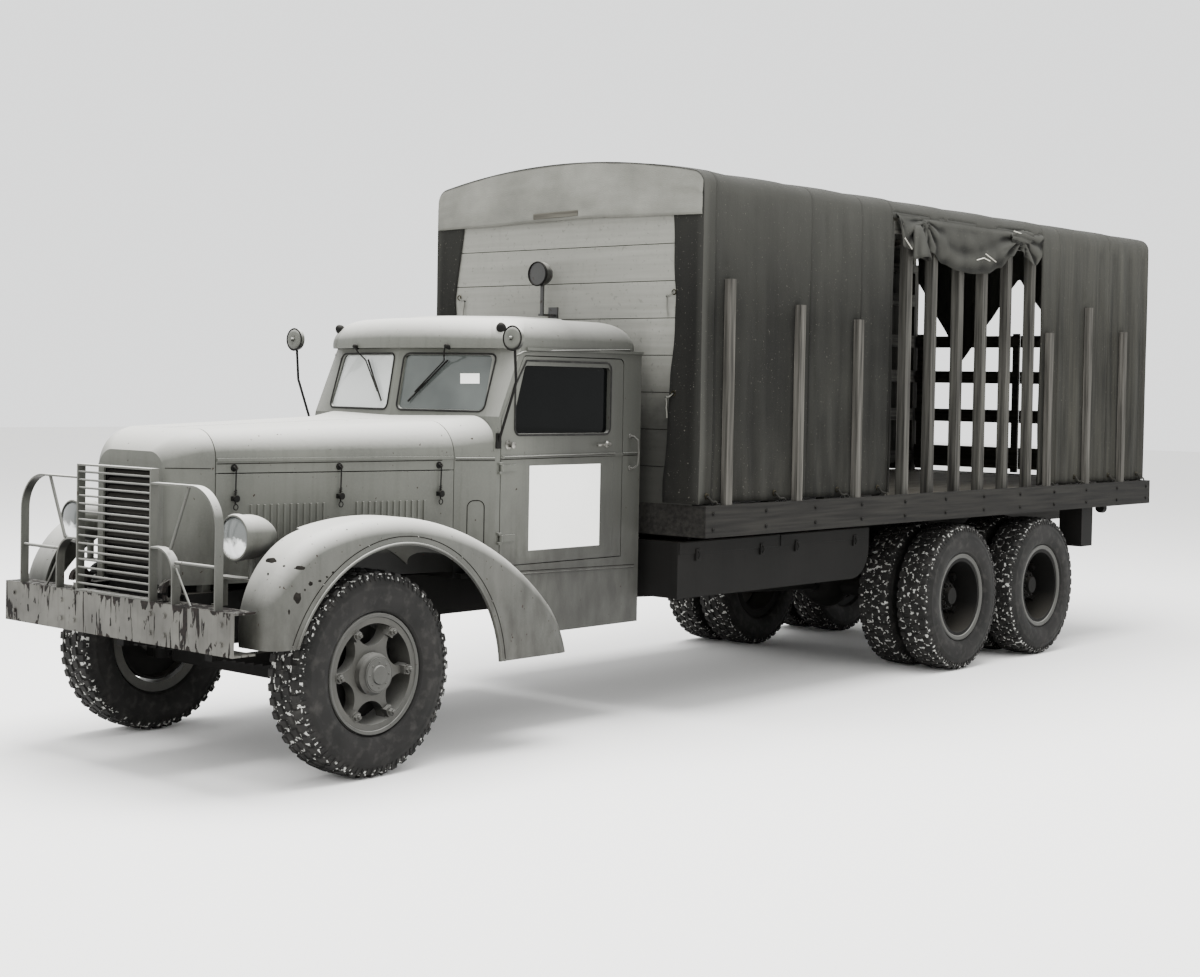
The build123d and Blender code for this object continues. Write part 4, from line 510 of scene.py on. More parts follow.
def add_rod(shape, points, radius, sides=8, closed=False):
    """A round bar that follows points."""
    points = [Vector(p) for p in points]
    rings, normal = [], None
    for i, point in enumerate(points):
        before = points[i - 1] if closed or i else point
        after = points[(i + 1) % len(points)] if closed or i < len(points) - 1 else point
        along = (after - before).normalized()
        normal = along.orthogonal() if normal is None else normal - along * normal.dot(along)
        normal.normalize()
        other = along.cross(normal)
        ring = [point + (normal * math.cos(t) + other * math.sin(t)) * radius for t in full_turn(sides)]
        rings.append([shape.verts.new(place) for place in ring])
    pairs = list(zip(rings, rings[1:] + rings[:1] if closed else rings[1:]))
    for first, second in pairs:
        for k in range(sides):
            shape.faces.new((first[k], first[k - 1], second[k - 1], second[k]))
    if not closed:
        shape.faces.new(rings[0])
        shape.faces.new(rings[-1])


def add_turned(shape, outline, centre, axis, steps=32, closed=True):
    """Turn an outline of (along, radius) points round an axis through centre."""
    axis = Vector(axis).normalized()
    first = axis.orthogonal().normalized()
    second = axis.cross(first)
    rings = []
    for turn in full_turn(steps):
        out = first * math.cos(turn) + second * math.sin(turn)
        rings.append([shape.verts.new(Vector(centre) + axis * a + out * max(r, 1e-5)) for a, r in outline])
    for one, two in zip(rings, rings[1:] + rings[:1]):
        for j in range(len(outline) - (0 if closed else 1)):
            k = (j + 1) % len(outline)
            shape.faces.new((one[j], one[k], two[k], two[j]))


def mesh_of(shape, name, weld=2e-5):
    """Close seams, face outwards, and turn a bmesh into a mesh."""
    bmesh.ops.remove_doubles(shape, verts=shape.verts, dist=weld)
    bmesh.ops.recalc_face_normals(shape, faces=shape.faces)
    mesh = bpy.data.meshes.new(name)
    shape.to_mesh(mesh)
    shape.free()
    return mesh


def add_piece(name, shape, material, body="chassis", slot="cab_paint", edge=0.0, angle=35):
    """A finished piece from a bmesh or mesh, riding on a body."""
    mesh = mesh_of(shape, name) if isinstance(shape, bmesh.types.BMesh) else shape
    mesh.materials.clear()
    mesh.materials.append(material)
    mesh.polygons.foreach_set("use_smooth", [True] * len(mesh.polygons))
    mesh.set_sharp_from_angle(angle=math.radians(angle))
    piece = show(bpy.data.objects.new(name, mesh))
    if edge:
        rounding = piece.modifiers.new("rounded_edges", "BEVEL")
        rounding.width, rounding.segments, rounding.limit_method = edge, 2, "ANGLE"
    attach(piece, body)
    return piece


def surface_at(node, start, direction):
    """Where a ray first meets a CAD node, and the surface's outward direction there."""
    if node not in trees:
        source = nodes[node].data
        corners = [v.co for v in source.vertices]
        trees[node] = BVHTree.FromPolygons(corners, [p.vertices for p in source.polygons])
    place, normal, _, _ = trees[node].ray_cast(Vector(start), Vector(direction).normalized())
    if place is None:
        return None, None
    return place, (normal if normal.dot(Vector(direction)) < 0 else -normal)


trees = {}

# %% [markdown]
# Bolts, rivets and wheel nuts are one shape repeated. Geometry Nodes put a stock item on every point of a
# mesh, with its foot turned against the surface. A second tree repeats an item round an axle, which makes a
# whole tread from one pitch of its pattern.

# %% Geometry Nodes that repeat an item on points and round an axle
def new_tree(name, inputs):
    """An empty geometry tree with named inputs, and its input sockets."""
    tree = bpy.data.node_groups.new(name, "GeometryNodeTree")
    for label, kind in inputs.items():
        tree.interface.new_socket(label, in_out="INPUT", socket_type=f"NodeSocket{kind}")
    tree.interface.new_socket("Geometry", in_out="OUTPUT", socket_type="NodeSocketGeometry")
    return tree, add_node(tree, "NodeGroupInput").outputs


def end_tree(tree, instances, material):
    """Make the copies real, give them their finish, and send them out."""
    real = add_node(tree, "GeometryNodeRealizeInstances", {"Geometry": instances})
    done = add_node(tree, "GeometryNodeSetMaterial", {"Geometry": real.outputs[0], "Material": material})
    add_node(tree, "NodeGroupOutput", {"Geometry": done.outputs[0]})
    return tree


def fastener_tree():
    tree, given = new_tree(
        "items_on_points", {"Points": "Geometry", "Item": "Object", "Spin seed": "Int", "Finish": "Material"}
    )
    item = add_node(tree, "GeometryNodeObjectInfo", {"Object": given["Item"]}).outputs["Geometry"]
    facing = add_node(tree, "GeometryNodeInputNamedAttribute", {"Name": "facing"}, data_type="FLOAT_VECTOR")
    spin = add_node(tree, "FunctionNodeRandomValue", {3: 6.28, "Seed": given["Spin seed"]})
    about = add_node(tree, "ShaderNodeCombineXYZ", {"Z": spin.outputs[1]})
    upright = add_node(
        tree, "FunctionNodeAlignRotationToVector", {"Vector": facing.outputs["Attribute"]}, axis="Z"
    )
    turned = add_node(
        tree, "FunctionNodeRotateRotation",
        {"Rotation": upright.outputs[0], "Rotate By": about.outputs[0]}, rotation_space="LOCAL",
    )
    placed = add_node(
        tree, "GeometryNodeInstanceOnPoints",
        {"Points": given["Points"], "Instance": item, "Rotation": turned.outputs[0]},
    )
    return end_tree(tree, placed.outputs[0], given["Finish"])


def axle_tree():
    tree, given = new_tree(
        "items_round_axle", {"Host": "Geometry", "Item": "Object", "Count": "Int", "Finish": "Material"}
    )
    item = add_node(tree, "GeometryNodeObjectInfo", {"Object": given["Item"]}).outputs["Geometry"]
    points = add_node(tree, "GeometryNodePoints", {"Count": given["Count"]})
    step = add_node(tree, "ShaderNodeMath", {0: 2 * math.pi, 1: given["Count"]}, operation="DIVIDE")
    index = add_node(tree, "GeometryNodeInputIndex").outputs[0]
    angle = add_node(tree, "ShaderNodeMath", {0: index, 1: step.outputs[0]}, operation="MULTIPLY")
    turn = add_node(tree, "ShaderNodeCombineXYZ", {"X": angle.outputs[0]})
    placed = add_node(
        tree, "GeometryNodeInstanceOnPoints",
        {"Points": points.outputs[0], "Instance": item, "Rotation": turn.outputs[0]},
    )
    return end_tree(tree, placed.outputs[0], given["Finish"])


def run_tree(tree, host_mesh, item_mesh, **values):
    """Run a tree on a host mesh with an item, and bake what it makes into a plain mesh."""
    host = show(bpy.data.objects.new("host", host_mesh))
    item = show(bpy.data.objects.new("item", item_mesh))
    modifier = host.modifiers.new("repeat", "NODES")
    modifier.node_group = tree
    sockets = {s.name: s.identifier for s in tree.interface.items_tree if s.in_out == "INPUT"}
    modifier[sockets["Item"]] = item
    for label, value in values.items():
        modifier[sockets[label.replace("_", " ")]] = value
    graph = bpy.context.evaluated_depsgraph_get()
    baked = bpy.data.meshes.new_from_object(host.evaluated_get(graph))
    host.modifiers.remove(modifier)
    for holder in (host, item):
        bpy.data.objects.remove(holder)
    return baked


ON_POINTS, ROUND_AXLE = fastener_tree(), axle_tree()


def fasten(name, spots, item, material, body="chassis", slot="cab_paint"):
    """Put a stock item on each (place, facing) spot and make them one piece."""
    host = bpy.data.meshes.new("spots")
    host.from_pydata([place for place, _ in spots], [], [])
    facing = host.attributes.new("facing", "FLOAT_VECTOR", "POINT")
    facing.data.foreach_set("vector", [v for _, direction in spots for v in direction])
    mesh = run_tree(ON_POINTS, host, item, Spin_seed=7, Finish=material)
    return add_piece(name, mesh, material, body, slot)


def stock_item(kind, radius, height):
    """A rivet, a hex bolt or a hex nut standing on z = 0."""
    shape = bmesh.new()
    if kind == "rivet":
        outline = [(-0.002, radius), (height * 0.45, radius * 0.86), (height * 0.85, radius * 0.5),
                   (height, 0)]
        add_turned(shape, outline, (0, 0, 0), (0, 0, 1), steps=8, closed=False)
    else:
        washer = [(-0.002, radius * 1.3), (0.002, radius * 1.3), (0.002, radius * 0.9)]
        add_turned(shape, washer, (0, 0, 0), (0, 0, 1), steps=12, closed=False)
        head = [(0.002, radius), (height * 0.85, radius), (height, radius * 0.8), (height, 0)]
        add_turned(shape, head, (0, 0, 0), (0, 0, 1), steps=6, closed=False)
        if kind == "nut":
            stud = [(height, radius * 0.5), (height * 1.6, radius * 0.46), (height * 1.65, 0)]
            add_turned(shape, stud, (0, 0, 0), (0, 0, 1), steps=8, closed=False)
    return mesh_of(shape, kind)


RIVET = stock_item("rivet", 0.007, 0.004)
BOLT = stock_item("bolt", 0.012, 0.010)
WHEEL_NUT = stock_item("nut", 0.021, 0.020)
print("stock items:", [m.name for m in (RIVET, BOLT, WHEEL_NUT)])

# %% [markdown]
# The tyres are cross-country tyres: a smooth bulging carcass, staggered slanting lugs in four rows, and
# short bars that run down over the shoulders. The tread is one pitch, repeated 44 times round the axle.

# %% Tyre carcass and tread
TYRE_R, PITCHES = 0.55, 44
PITCH = 2 * math.pi * TYRE_R / PITCHES
TYRE_HALF = (
    (0.000, 0.539), (0.056, 0.538), (0.100, 0.534), (0.113, 0.527), (0.119, 0.516), (0.126, 0.498),
    (0.133, 0.475), (0.1365, 0.468), (0.1365, 0.460), (0.1355, 0.455), (0.139, 0.435), (0.140, 0.410),
    (0.138, 0.385), (0.132, 0.362), (0.125, 0.350), (0.124, 0.343), (0.118, 0.337), (0.108, 0.331),
    (0.096, 0.328), (0.093, 0.300), (0.092, 0.283),
)
LUGS = (
    # a lug's corners as (across, along) in metres, and how far round the pitch it sits
    (((-0.060, -0.022), (-0.012, -0.031), (-0.004, 0.014), (-0.050, 0.026)), 0.00),
    (((0.004, -0.014), (0.050, -0.026), (0.060, 0.022), (0.012, 0.031)), 0.50),
    (((-0.117, -0.020), (-0.068, -0.028), (-0.066, 0.020), (-0.117, 0.024)), 0.50),
    (((0.066, -0.020), (0.117, -0.024), (0.117, 0.020), (0.068, 0.028)), 0.00),
)
SHOULDER_BAR = ((0.531, 0.110, 0.011), (0.522, 0.1225, 0.010), (0.495, 0.1325, 0.008))


def join_rings(shape, rings):
    """Quads between rings of four corners each."""
    for low, high in zip(rings, rings[1:]):
        for k in range(4):
            shape.faces.new((low[k], high[k], high[k - 1], low[k - 1]))


def tread_pitch():
    shape = bmesh.new()
    for corners, share in LUGS:
        middle = Vector((sum(c[0] for c in corners) / 4, sum(c[1] for c in corners) / 4))
        rings = []
        for radius, shrink in ((0.532, 1.06), (0.546, 0.94), (TYRE_R - 0.0005, 0.86)):
            ring = []
            for corner in corners:
                across, along = middle + (Vector(corner) - middle) * shrink
                angle = (along + share * PITCH) / TYRE_R
                dip = 0.007 * (abs(across) / 0.117) ** 4
                out = radius - dip
                ring.append(shape.verts.new((across, -out * math.sin(angle), out * math.cos(angle))))
            rings.append(ring)
        join_rings(shape, rings)
        shape.faces.new(rings[-1])
    for side in (-1, 1):
        for share in (0.25, 0.75):
            rings = []
            for radius, across, wide in SHOULDER_BAR:
                ring = []
                for depth, along in ((-0.012, -wide), (0, -wide * 0.8), (0, wide * 0.8), (-0.012, wide)):
                    angle = (along + share * PITCH) / TYRE_R
                    place = (side * (across + depth), -radius * math.sin(angle), radius * math.cos(angle))
                    ring.append(shape.verts.new(place))
                rings.append(ring)
            join_rings(shape, rings)
            shape.faces.new(rings[0])
            shape.faces.new(rings[-1])
    return mesh_of(shape, "tread_pitch")


def whole_tyre():
    tread = run_tree(ROUND_AXLE, bpy.data.meshes.new("axle"), tread_pitch(), Count=PITCHES, Finish=rubber)
    shape = bmesh.new()
    outline = [(a, r) for a, r in TYRE_HALF] + [(-a, r) for a, r in TYRE_HALF[:0:-1]]
    add_turned(shape, outline, (0, 0, 0), (1, 0, 0), steps=96)
    bmesh.ops.recalc_face_normals(shape, faces=shape.faces)
    shape.from_mesh(tread)
    mesh = bpy.data.meshes.new("tyre")
    shape.to_mesh(mesh)
    shape.free()
    return mesh


def mark_grooves(mesh, middles, y):
    """Set the attribute packed to 1 on what lies between the lugs."""
    packed = mesh.attributes.new("packed", "FLOAT", "POINT")
    for vertex in mesh.vertices:
        across = min(abs(vertex.co.x - x) for x in middles)
        radius = math.hypot(vertex.co.y - y, vertex.co.z - TYRE_R) + 0.007 * (across / 0.117) ** 4
        packed.data[vertex.index].value = 1.0 if across < 0.122 and 0.515 < radius < 0.5425 else 0.0


TYRE = whole_tyre()
for node in TYRES:
    low, high = (Vector(corner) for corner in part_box(node))
    width = high.x - low.x
    middles = [(low.x + high.x) / 2] if width < 0.4 else [low.x + 0.14, high.x - 0.14]
    shape = bmesh.new()
    for x in middles:
        turned = TYRE.copy()
        turned.transform(Matrix.Translation((x, (low.y + high.y) / 2, TYRE_R)))
        shape.from_mesh(turned)
    mesh = bpy.data.meshes.new(f"{node}_tread")
    shape.to_mesh(mesh)
    shape.free()
    mark_grooves(mesh, middles, (low.y + high.y) / 2)
    body = next(b for b, names in frame["record"]["behaviour"]["bodies"].items() if node in names)
    tyre = add_piece(f"{node}_tread", mesh, rubber, body, "tyre", angle=32)
    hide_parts(node)
print("tyres:", len(TYRES), "pieces of", len(TYRE.polygons), "faces a tyre")

# %% [markdown]
# Demountable rims are held by clamps and nuts at the spoke ends. The front hub has a turned cap with small
# bolts round its edge, left bare in the middle. The rear hubs lie deep in their rims behind a ring of nuts.

# %% Wheel nuts, hub caps and rim rings
FRONT_RIM_X, REAR_RIM_X, RIM_HALF = 0.934, 1.080, 0.104
FRONT_NUTS, REAR_NUTS = (6, 0.247, 1.0395), (10, 0.082, 1.0685)
CAP_X, CAP_BOLTS_X, CAP_BOLTS_R = 1.074, 1.080, 0.068

for node in WHEELS:
    low, high = (Vector(corner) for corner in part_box(node))
    side = 1 if low.x > 0 else -1
    y = (low.y + high.y) / 2
    front = "front" in node
    body = f"{node}_body"
    outer_x = side * ((FRONT_RIM_X if front else REAR_RIM_X) + RIM_HALF)
    shape = bmesh.new()
    ring = [(0.0, 0.300), (0.0, 0.320), (side * 0.005, 0.3235), (side * 0.011, 0.3185), (side * 0.006, 0.303)]
    if not front:
        ring = [(-side * 0.020, 0.284), (-side * 0.016, 0.288), (-side * 0.004, 0.302), (side * 0.003, 0.324),
                (side * 0.008, 0.3265), (side * 0.012, 0.3185), (side * 0.006, 0.296), (-side * 0.014, 0.281)]
    add_turned(shape, ring, (outer_x, y, TYRE_R), (1, 0, 0), steps=72)
    if front:
        face = side * CAP_X
        cap = [(0, 0.088), (side * 0.004, 0.088), (side * 0.006, 0.080), (side * 0.006, 0.052),
               (side * 0.014, 0.047), (side * 0.017, 0.030), (side * 0.018, 0)]
        add_turned(shape, [(a + face, r) for a, r in cap], (0, y, TYRE_R), (1, 0, 0), steps=48, closed=False)
        groove = [(0, 0.0955), (side * 0.003, 0.0955), (side * 0.003, 0.0915), (0, 0.0915)]
        add_turned(shape, groove, (face, y, TYRE_R), (1, 0, 0), steps=48)
    add_piece(f"{node}_rings", shape, rim_enamel, body, "wheel_paint")
    count, radius, nut_x = FRONT_NUTS if front else REAR_NUTS
    spots = []
    for k in range(count):
        angle = 2 * math.pi * (k + 0.5) / count
        place = (side * nut_x, y + radius * math.sin(angle), TYRE_R + radius * math.cos(angle))
        spots.append((place, (side, 0, 0)))
    fasten(f"{node}_nuts", spots, WHEEL_NUT, wheel_enamel if front else chassis_enamel, body, "wheel_paint")
    if front:
        small = []
        for a in full_turn(8):
            place = (side * CAP_BOLTS_X, y + CAP_BOLTS_R * math.sin(a), TYRE_R + CAP_BOLTS_R * math.cos(a))
            small.append((place, (side, 0, 0)))
        fasten(f"{node}_cap_bolts", small, RIVET, wheel_enamel, body, "wheel_paint")
print("hubs and rims:", len(WHEELS))

# %% [markdown]
# The cover is one sheet of proofed duck stretched over the bows: two upright sides, round shoulders and a
# low crown. It is made as a grid that runs round the cross-section in one direction and along the bed in
# the other. Each grid point then moves a little along its outward normal: the roof sags between the bows,
# the sides swell between the stakes, and the cloth creases more towards its loose lower hem.

# %% The cover's cross-section and its drape
COVER_HALF, COVER_LOW, SHOULDER, CROWN = 1.172, 1.372, 3.455, 3.572
COVER_FRONT, COVER_REAR = -1.469, 5.006
CLOTH = 0.003
BOWS = (-1.33, -0.64, 0.01, 0.72, 1.39, 2.145, 2.92, 3.60, 4.30, 4.94)
STAKES = ((-1.21, 2.78), (-0.42, 2.65), (0.30, 2.58), (3.13, 2.58), (3.82, 2.81), (4.48, 2.63))
TIES = (-1.39, -0.65, 0.10, 0.62, 3.15, 3.67, 4.30, 4.85)
CORNER_TIES = ((0.945, 2.69), (0.955, 2.05))
OPENING = (0.77, 3.01)


def circle_centre(first, middle, last):
    """Centre of the circle through three points."""
    (ax, ay), (bx, by), (cx, cy) = first, middle, last
    d = 2 * (ax * (by - cy) + bx * (cy - ay) + cx * (ay - by))
    a, b, c = ax * ax + ay * ay, bx * bx + by * by, cx * cx + cy * cy
    u = (a * (by - cy) + b * (cy - ay) + c * (ay - by)) / d
    v = (a * (cx - bx) + b * (ax - cx) + c * (bx - ax)) / d
    return u, v


def bow_arc(first, middle, last, count):
    """Points on the circle through three (x, z) points."""
    ux, uz = circle_centre(first, middle, last)
    radius = math.hypot(first[0] - ux, first[1] - uz)
    start, end = (math.atan2(z - uz, x - ux) for x, z in (first, last))
    if end - start > math.pi:
        end -= 2 * math.pi
    if start - end > math.pi:
        end += 2 * math.pi
    angles = [start + (end - start) * i / count for i in range(count + 1)]
    return [(ux + radius * math.cos(t), uz + radius * math.sin(t)) for t in angles]


def cover_outline(inset=0.0055):
    """Evenly spaced (x, z) points and outward normals, from the left hem over the roof to the right hem."""
    w, r = COVER_HALF - inset, 0.09 - inset
    shoulder, crown = SHOULDER - inset, CROWN - inset
    edge = bow_arc((w, shoulder - r), (w - 0.3 * r, shoulder - 0.28 * r), (w - r, shoulder + 0.008), 6)
    roof = bow_arc((w - r, shoulder + 0.008), (0, crown), (r - w, shoulder + 0.008), 56)
    side = [(w, COVER_LOW + (shoulder - r - COVER_LOW) * i / 50) for i in range(50)]
    points = side + edge[:-1] + roof[:-1]
    points += [(-x, z) for x, z in reversed(side + edge)]
    normals = []
    for i in range(len(points)):
        (x0, z0), (x1, z1) = points[max(i - 1, 0)], points[min(i + 1, len(points) - 1)]
        length = math.hypot(x1 - x0, z1 - z0)
        normals.append(((z1 - z0) / length, -(x1 - x0) / length))
    return points, normals


OUTLINE, OUTWARD = cover_outline()


def wander(x, y, z):
    """Smooth noise between -1 and 1."""
    return noise.noise(Vector((x, y, z)))


def near(value, places, reach):
    """1 at any of the places, falling to 0 at reach."""
    return max((max(0.0, 1 - abs(value - p) / reach) for p in places), default=0.0)


def drape(x, y, z):
    """How far the cloth stands off its smooth shape, in metres, outwards positive."""
    side = 1 if x > 0 else -1
    crease = wander(y * 3.1, z * 1.1, side * 4.0)
    fine = wander(y * 9.0 + 2.0 * z, z * 2.4, side * 7.0)
    if z > 3.30:
        span = min(abs(y - b) for b in BOWS)
        sag = -0.012 * min(1.0, span / 0.30) ** 1.3
        return sag * min(1.0, (z - 3.30) / 0.16) + 0.0025 * crease + 0.0018 * fine - 0.001
    low = 1 - (z - COVER_LOW) / 2.0
    pleat = wander(y * 7.0, z * 0.28, side * 11.0)
    fold = wander(y * 2.2 - 0.8 * z, z * 0.5, side * 15.0)
    tail = max(0.0, min(1.0, (y - 3.1) / 0.6))
    depth = 0.005 * crease + 0.003 * fine + (0.004 + 0.007 * low + 0.005 * tail) * pleat + 0.006 * fold
    depth += 0.004 * low * math.sin(y * 31 + 3 * crease) * near(z, (COVER_LOW,), 0.45)
    ends = 1 - near(y, (COVER_FRONT, COVER_REAR), 0.12)
    depth = max(-0.012, min(0.009, depth * 1.35)) * (0.3 + 0.7 * ends)
    braced = near(y, [s for s, top in STAKES if z < top + 0.05], 0.10)
    tied = near(y, TIES, 0.14) * near(z, (COVER_LOW + 0.02,), 0.30)
    return depth * (1 - max(braced, 0.7 * tied)) - 0.006 * tied


def cover_point(i, y, lift=0.0):
    """A point of the cover at outline step i and station y, lifted off the cloth if asked."""
    (x, z), (nx, nz) = OUTLINE[i], OUTWARD[i]
    d = drape(x, y, z) + lift
    rise = 0.0
    if z < 1.9:
        slack = 1 - near(y, TIES, 0.34)
        rise = (-0.017 + 0.010 * slack + 0.003 * wander(y * 6, x, 0)) * (1.9 - z) / 0.53
    return Vector((x + nx * d, y, z + nz * d + rise))


STATIONS = [COVER_FRONT + (COVER_REAR - COVER_FRONT) * j / 180 for j in range(181)]
print("cover grid:", len(OUTLINE), "round by", len(STATIONS), "along")

# %% [markdown]
# At the front corners the side cloth wraps round onto the bulkhead, and the roof cloth hangs over it as a
# flap. Both are grown from the same grid's front edge, so the sheet stays in one piece. The middle of each
# side is rolled up and its cloth is left out here.

# %% The main sheet of the cover
def add_grid(shape, rows, keep=lambda middle: True):
    """Quads between rows of points, leaving out those whose middle fails keep."""
    made = [[shape.verts.new(p) for p in row] for row in rows]
    for one, two in zip(made, made[1:]):
        for k in range(len(one) - 1):
            corners = (one[k], one[k + 1], two[k + 1], two[k])
            if keep(sum((v.co for v in corners), Vector()) / 4):
                shape.faces.new(corners)
    return made


def sheet_of(count_u, count_v, point):
    """A sheet of quads through point(i, k), with count_u by count_v of them."""
    shape = bmesh.new()
    add_grid(shape, [[point(i, k) for k in range(count_v + 1)] for i in range(count_u + 1)])
    return shape


def sew_on(shape, previous, places):
    """Grow the sheet by one more row of points."""
    row = [shape.verts.new(place) for place in places]
    for k in range(len(row) - 1):
        shape.faces.new((previous[k], previous[k + 1], row[k + 1], row[k]))
    return row


def drop_loose(shape):
    """Delete the points that no face uses."""
    bmesh.ops.delete(shape, geom=[v for v in shape.verts if not v.link_faces], context="VERTS")


def in_opening(middle, margin=0.0):
    along = OPENING[0] - margin < middle.y < OPENING[1] + margin
    return along and middle.z < 3.345 and abs(middle.x) > 1.1


def wrap_edge(side, z):
    """How far in from the corner the side cloth reaches over the bulkhead at height z."""
    waver = 0.018 * wander(z * 2.3, side * 5.0, 1.0) + 0.012 * math.sin(z * 5 + side)
    return 0.245 + waver - 0.06 * near(z, (2.68,), 0.5) + 0.03 * near(z, (1.5,), 0.5)


def main_cover():
    shape = bmesh.new()
    rows = [[cover_point(i, y) for i in range(len(OUTLINE))] for y in STATIONS]
    made = add_grid(shape, rows, lambda middle: not in_opening(middle))
    front = made[0]
    for side in (1, -1):
        column = [v for v in front if v.co.x * side > 1.1 and v.co.z < 3.40]
        column.sort(key=lambda v: v.co.z)
        previous = column
        for step in range(1, 10):
            share = step / 9
            places = []
            for v in column:
                z = v.co.z
                ripple = 0.0022 * math.sin(step * 1.9 + 4 * z)
                ripple *= wander(z * 5, step * 0.7, side)
                reach = wrap_edge(side, z) * share
                places.append((v.co.x - side * reach, COVER_FRONT + 0.0015 + ripple * share, z))
            previous = sew_on(shape, previous, places)
    top = [v for v in front if v.co.z >= 3.365]
    previous = top
    for step in range(1, 17):
        places = []
        for v in top:
            low = 3.178 + 0.010 * wander(v.co.x * 2.1, 0, 3)
            low += 0.008 * math.sin(v.co.x * 2.6 + 1)
            share = step / 16
            swell = 0.007 * wander(v.co.x * 2.6, share * 4.0, 8)
            swell = (swell + 0.004 * wander(v.co.x * 7, share * 9.0, 5)) * min(1, share * 3)
            y = COVER_FRONT - 0.0055 * min(1, share * 3) - abs(swell)
            places.append((v.co.x * 1.001, y, v.co.z + (low - v.co.z) * share))
        previous = sew_on(shape, previous, places)
    drop_loose(shape)
    return shape


def mark_creases(mesh, depth):
    """Set the attribute crease: towards 1 in the valleys of the cloth, towards -1 on its ridges."""
    around = [[] for vertex in mesh.vertices]
    for first, second in (edge.vertices for edge in mesh.edges):
        around[first].append(second)
        around[second].append(first)
    middle = Vector((0, 1.8, 2.2))
    hollow = []
    for vertex, others in zip(mesh.vertices, around):
        lean = sum(((mesh.vertices[k].co - vertex.co) for k in others), Vector()) / max(1, len(others))
        outside = 1 if vertex.normal.dot(vertex.co - middle) > 0 else -1
        hollow.append(lean.dot(vertex.normal) * outside if len(others) == 4 else 0.0)
    for _ in range(2):
        hollow = [(value + sum(hollow[k] for k in others)) / (1 + len(others))
                  for value, others in zip(hollow, around)]
    crease = mesh.attributes.new("crease", "FLOAT", "POINT")
    for k, value in enumerate(hollow):
        crease.data[k].value = max(-1.0, min(1.0, value / depth))


def cloth_piece(name, shape, flat, thickness=CLOTH, crease_depth=0.0008):
    area = sum(face.calc_area() for face in shape.faces)
    piece = add_piece(name, shape, duck, slot="canvas", angle=80)
    mark_creases(piece.data, crease_depth)
    wall = piece.modifiers.new("cloth_thickness", "SOLIDIFY")
    wall.thickness, wall.offset = thickness, 0.0
    print(name, "cloth area", round(area, 2), "m2 of a cut", flat)
    return piece

# %% [markdown]
# Widths of duck are joined by flat-felled seams, which show as low double ridges that run over the truck
# from hem to hem. The hem and the eave have one as well. They are narrow strips lifted off the same grid.

# %% Seams, hem and eave
SEAMS = (-1.33, -0.26, 0.36, 3.33, 4.24)
OPENING_HEMS = (0.745, 3.035)
SEAM_LIFT = 0.0024


def seam_strips():
    shape = bmesh.new()
    for y in SEAMS + OPENING_HEMS:
        columns = [y - 0.012, y - 0.010, y, y + 0.010, y + 0.012]
        lifts = [0.0, SEAM_LIFT, SEAM_LIFT + 0.0006, SEAM_LIFT, 0.0]
        rows = [[cover_point(i, c, lift) for i in range(len(OUTLINE))] for c, lift in zip(columns, lifts)]
        add_grid(shape, rows)
    hem = [i for i, (x, z) in enumerate(OUTLINE) if x > 0 and z < 1.43]
    eave = [i for i, (x, z) in enumerate(OUTLINE) if x > 0 and 3.31 < z < 3.38]
    for steps, margin in ((hem, 0.0), (eave, -9.0)):
        for mirrored in (False, True):
            picked = [len(OUTLINE) - 1 - i for i in steps] if mirrored else steps
            lifts = [0.0] + [SEAM_LIFT] * (len(picked) - 2) + [0.0]
            rows = [[cover_point(i, y, lift) for i, lift in zip(picked, lifts)] for y in STATIONS]
            add_grid(shape, rows, lambda middle: not in_opening(middle, margin))
    drop_loose(shape)
    return shape


seams = add_piece("cover_seams", seam_strips(), duck_seam, slot="canvas", angle=80)
wall = seams.modifiers.new("cloth_thickness", "SOLIDIFY")
wall.thickness, wall.offset = 0.0018, 0.0
cover = cloth_piece(
    "cover_sheet", main_cover(), (6.72, 6.66),
    crease_depth=0.0032,
)
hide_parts("canvas_cover")

# %% [markdown]
# Above the opening the side cloth was rolled and tucked up by hand. It hangs as a swag between two gathers:
# a rolled sleeve towards the cab, and a tight knot of folds under the eave towards the tail. The swag is a
# grid whose folds run out of both gathers and grow towards the low middle of its scalloped edge.

# %% Swag, rolled sleeve and knot over each opening
SWAG_EDGE = (
    (0.80, 3.30), (0.90, 3.12), (1.05, 3.10), (1.18, 3.14), (1.32, 3.10), (1.46, 3.035), (1.68, 2.995),
    (1.90, 2.985), (2.12, 3.000), (2.32, 3.055), (2.48, 3.15), (2.60, 3.235), (2.72, 3.16), (2.84, 3.10),
    (2.93, 3.11), (3.00, 3.28),
)
SWAG_TOP = 3.368
KNOT_AT, ROLL_AT = (2.64, 3.31), (1.18, 3.33)


def along_edge(y):
    """Height of the swag's scalloped edge at y, eased between its points."""
    for (y0, z0), (y1, z1) in zip(SWAG_EDGE, SWAG_EDGE[1:]):
        if y <= y1:
            t = max(0.0, (y - y0) / (y1 - y0))
            t = t * t * (3 - 2 * t)
            return z0 + (z1 - z0) * t
    return SWAG_EDGE[-1][1]


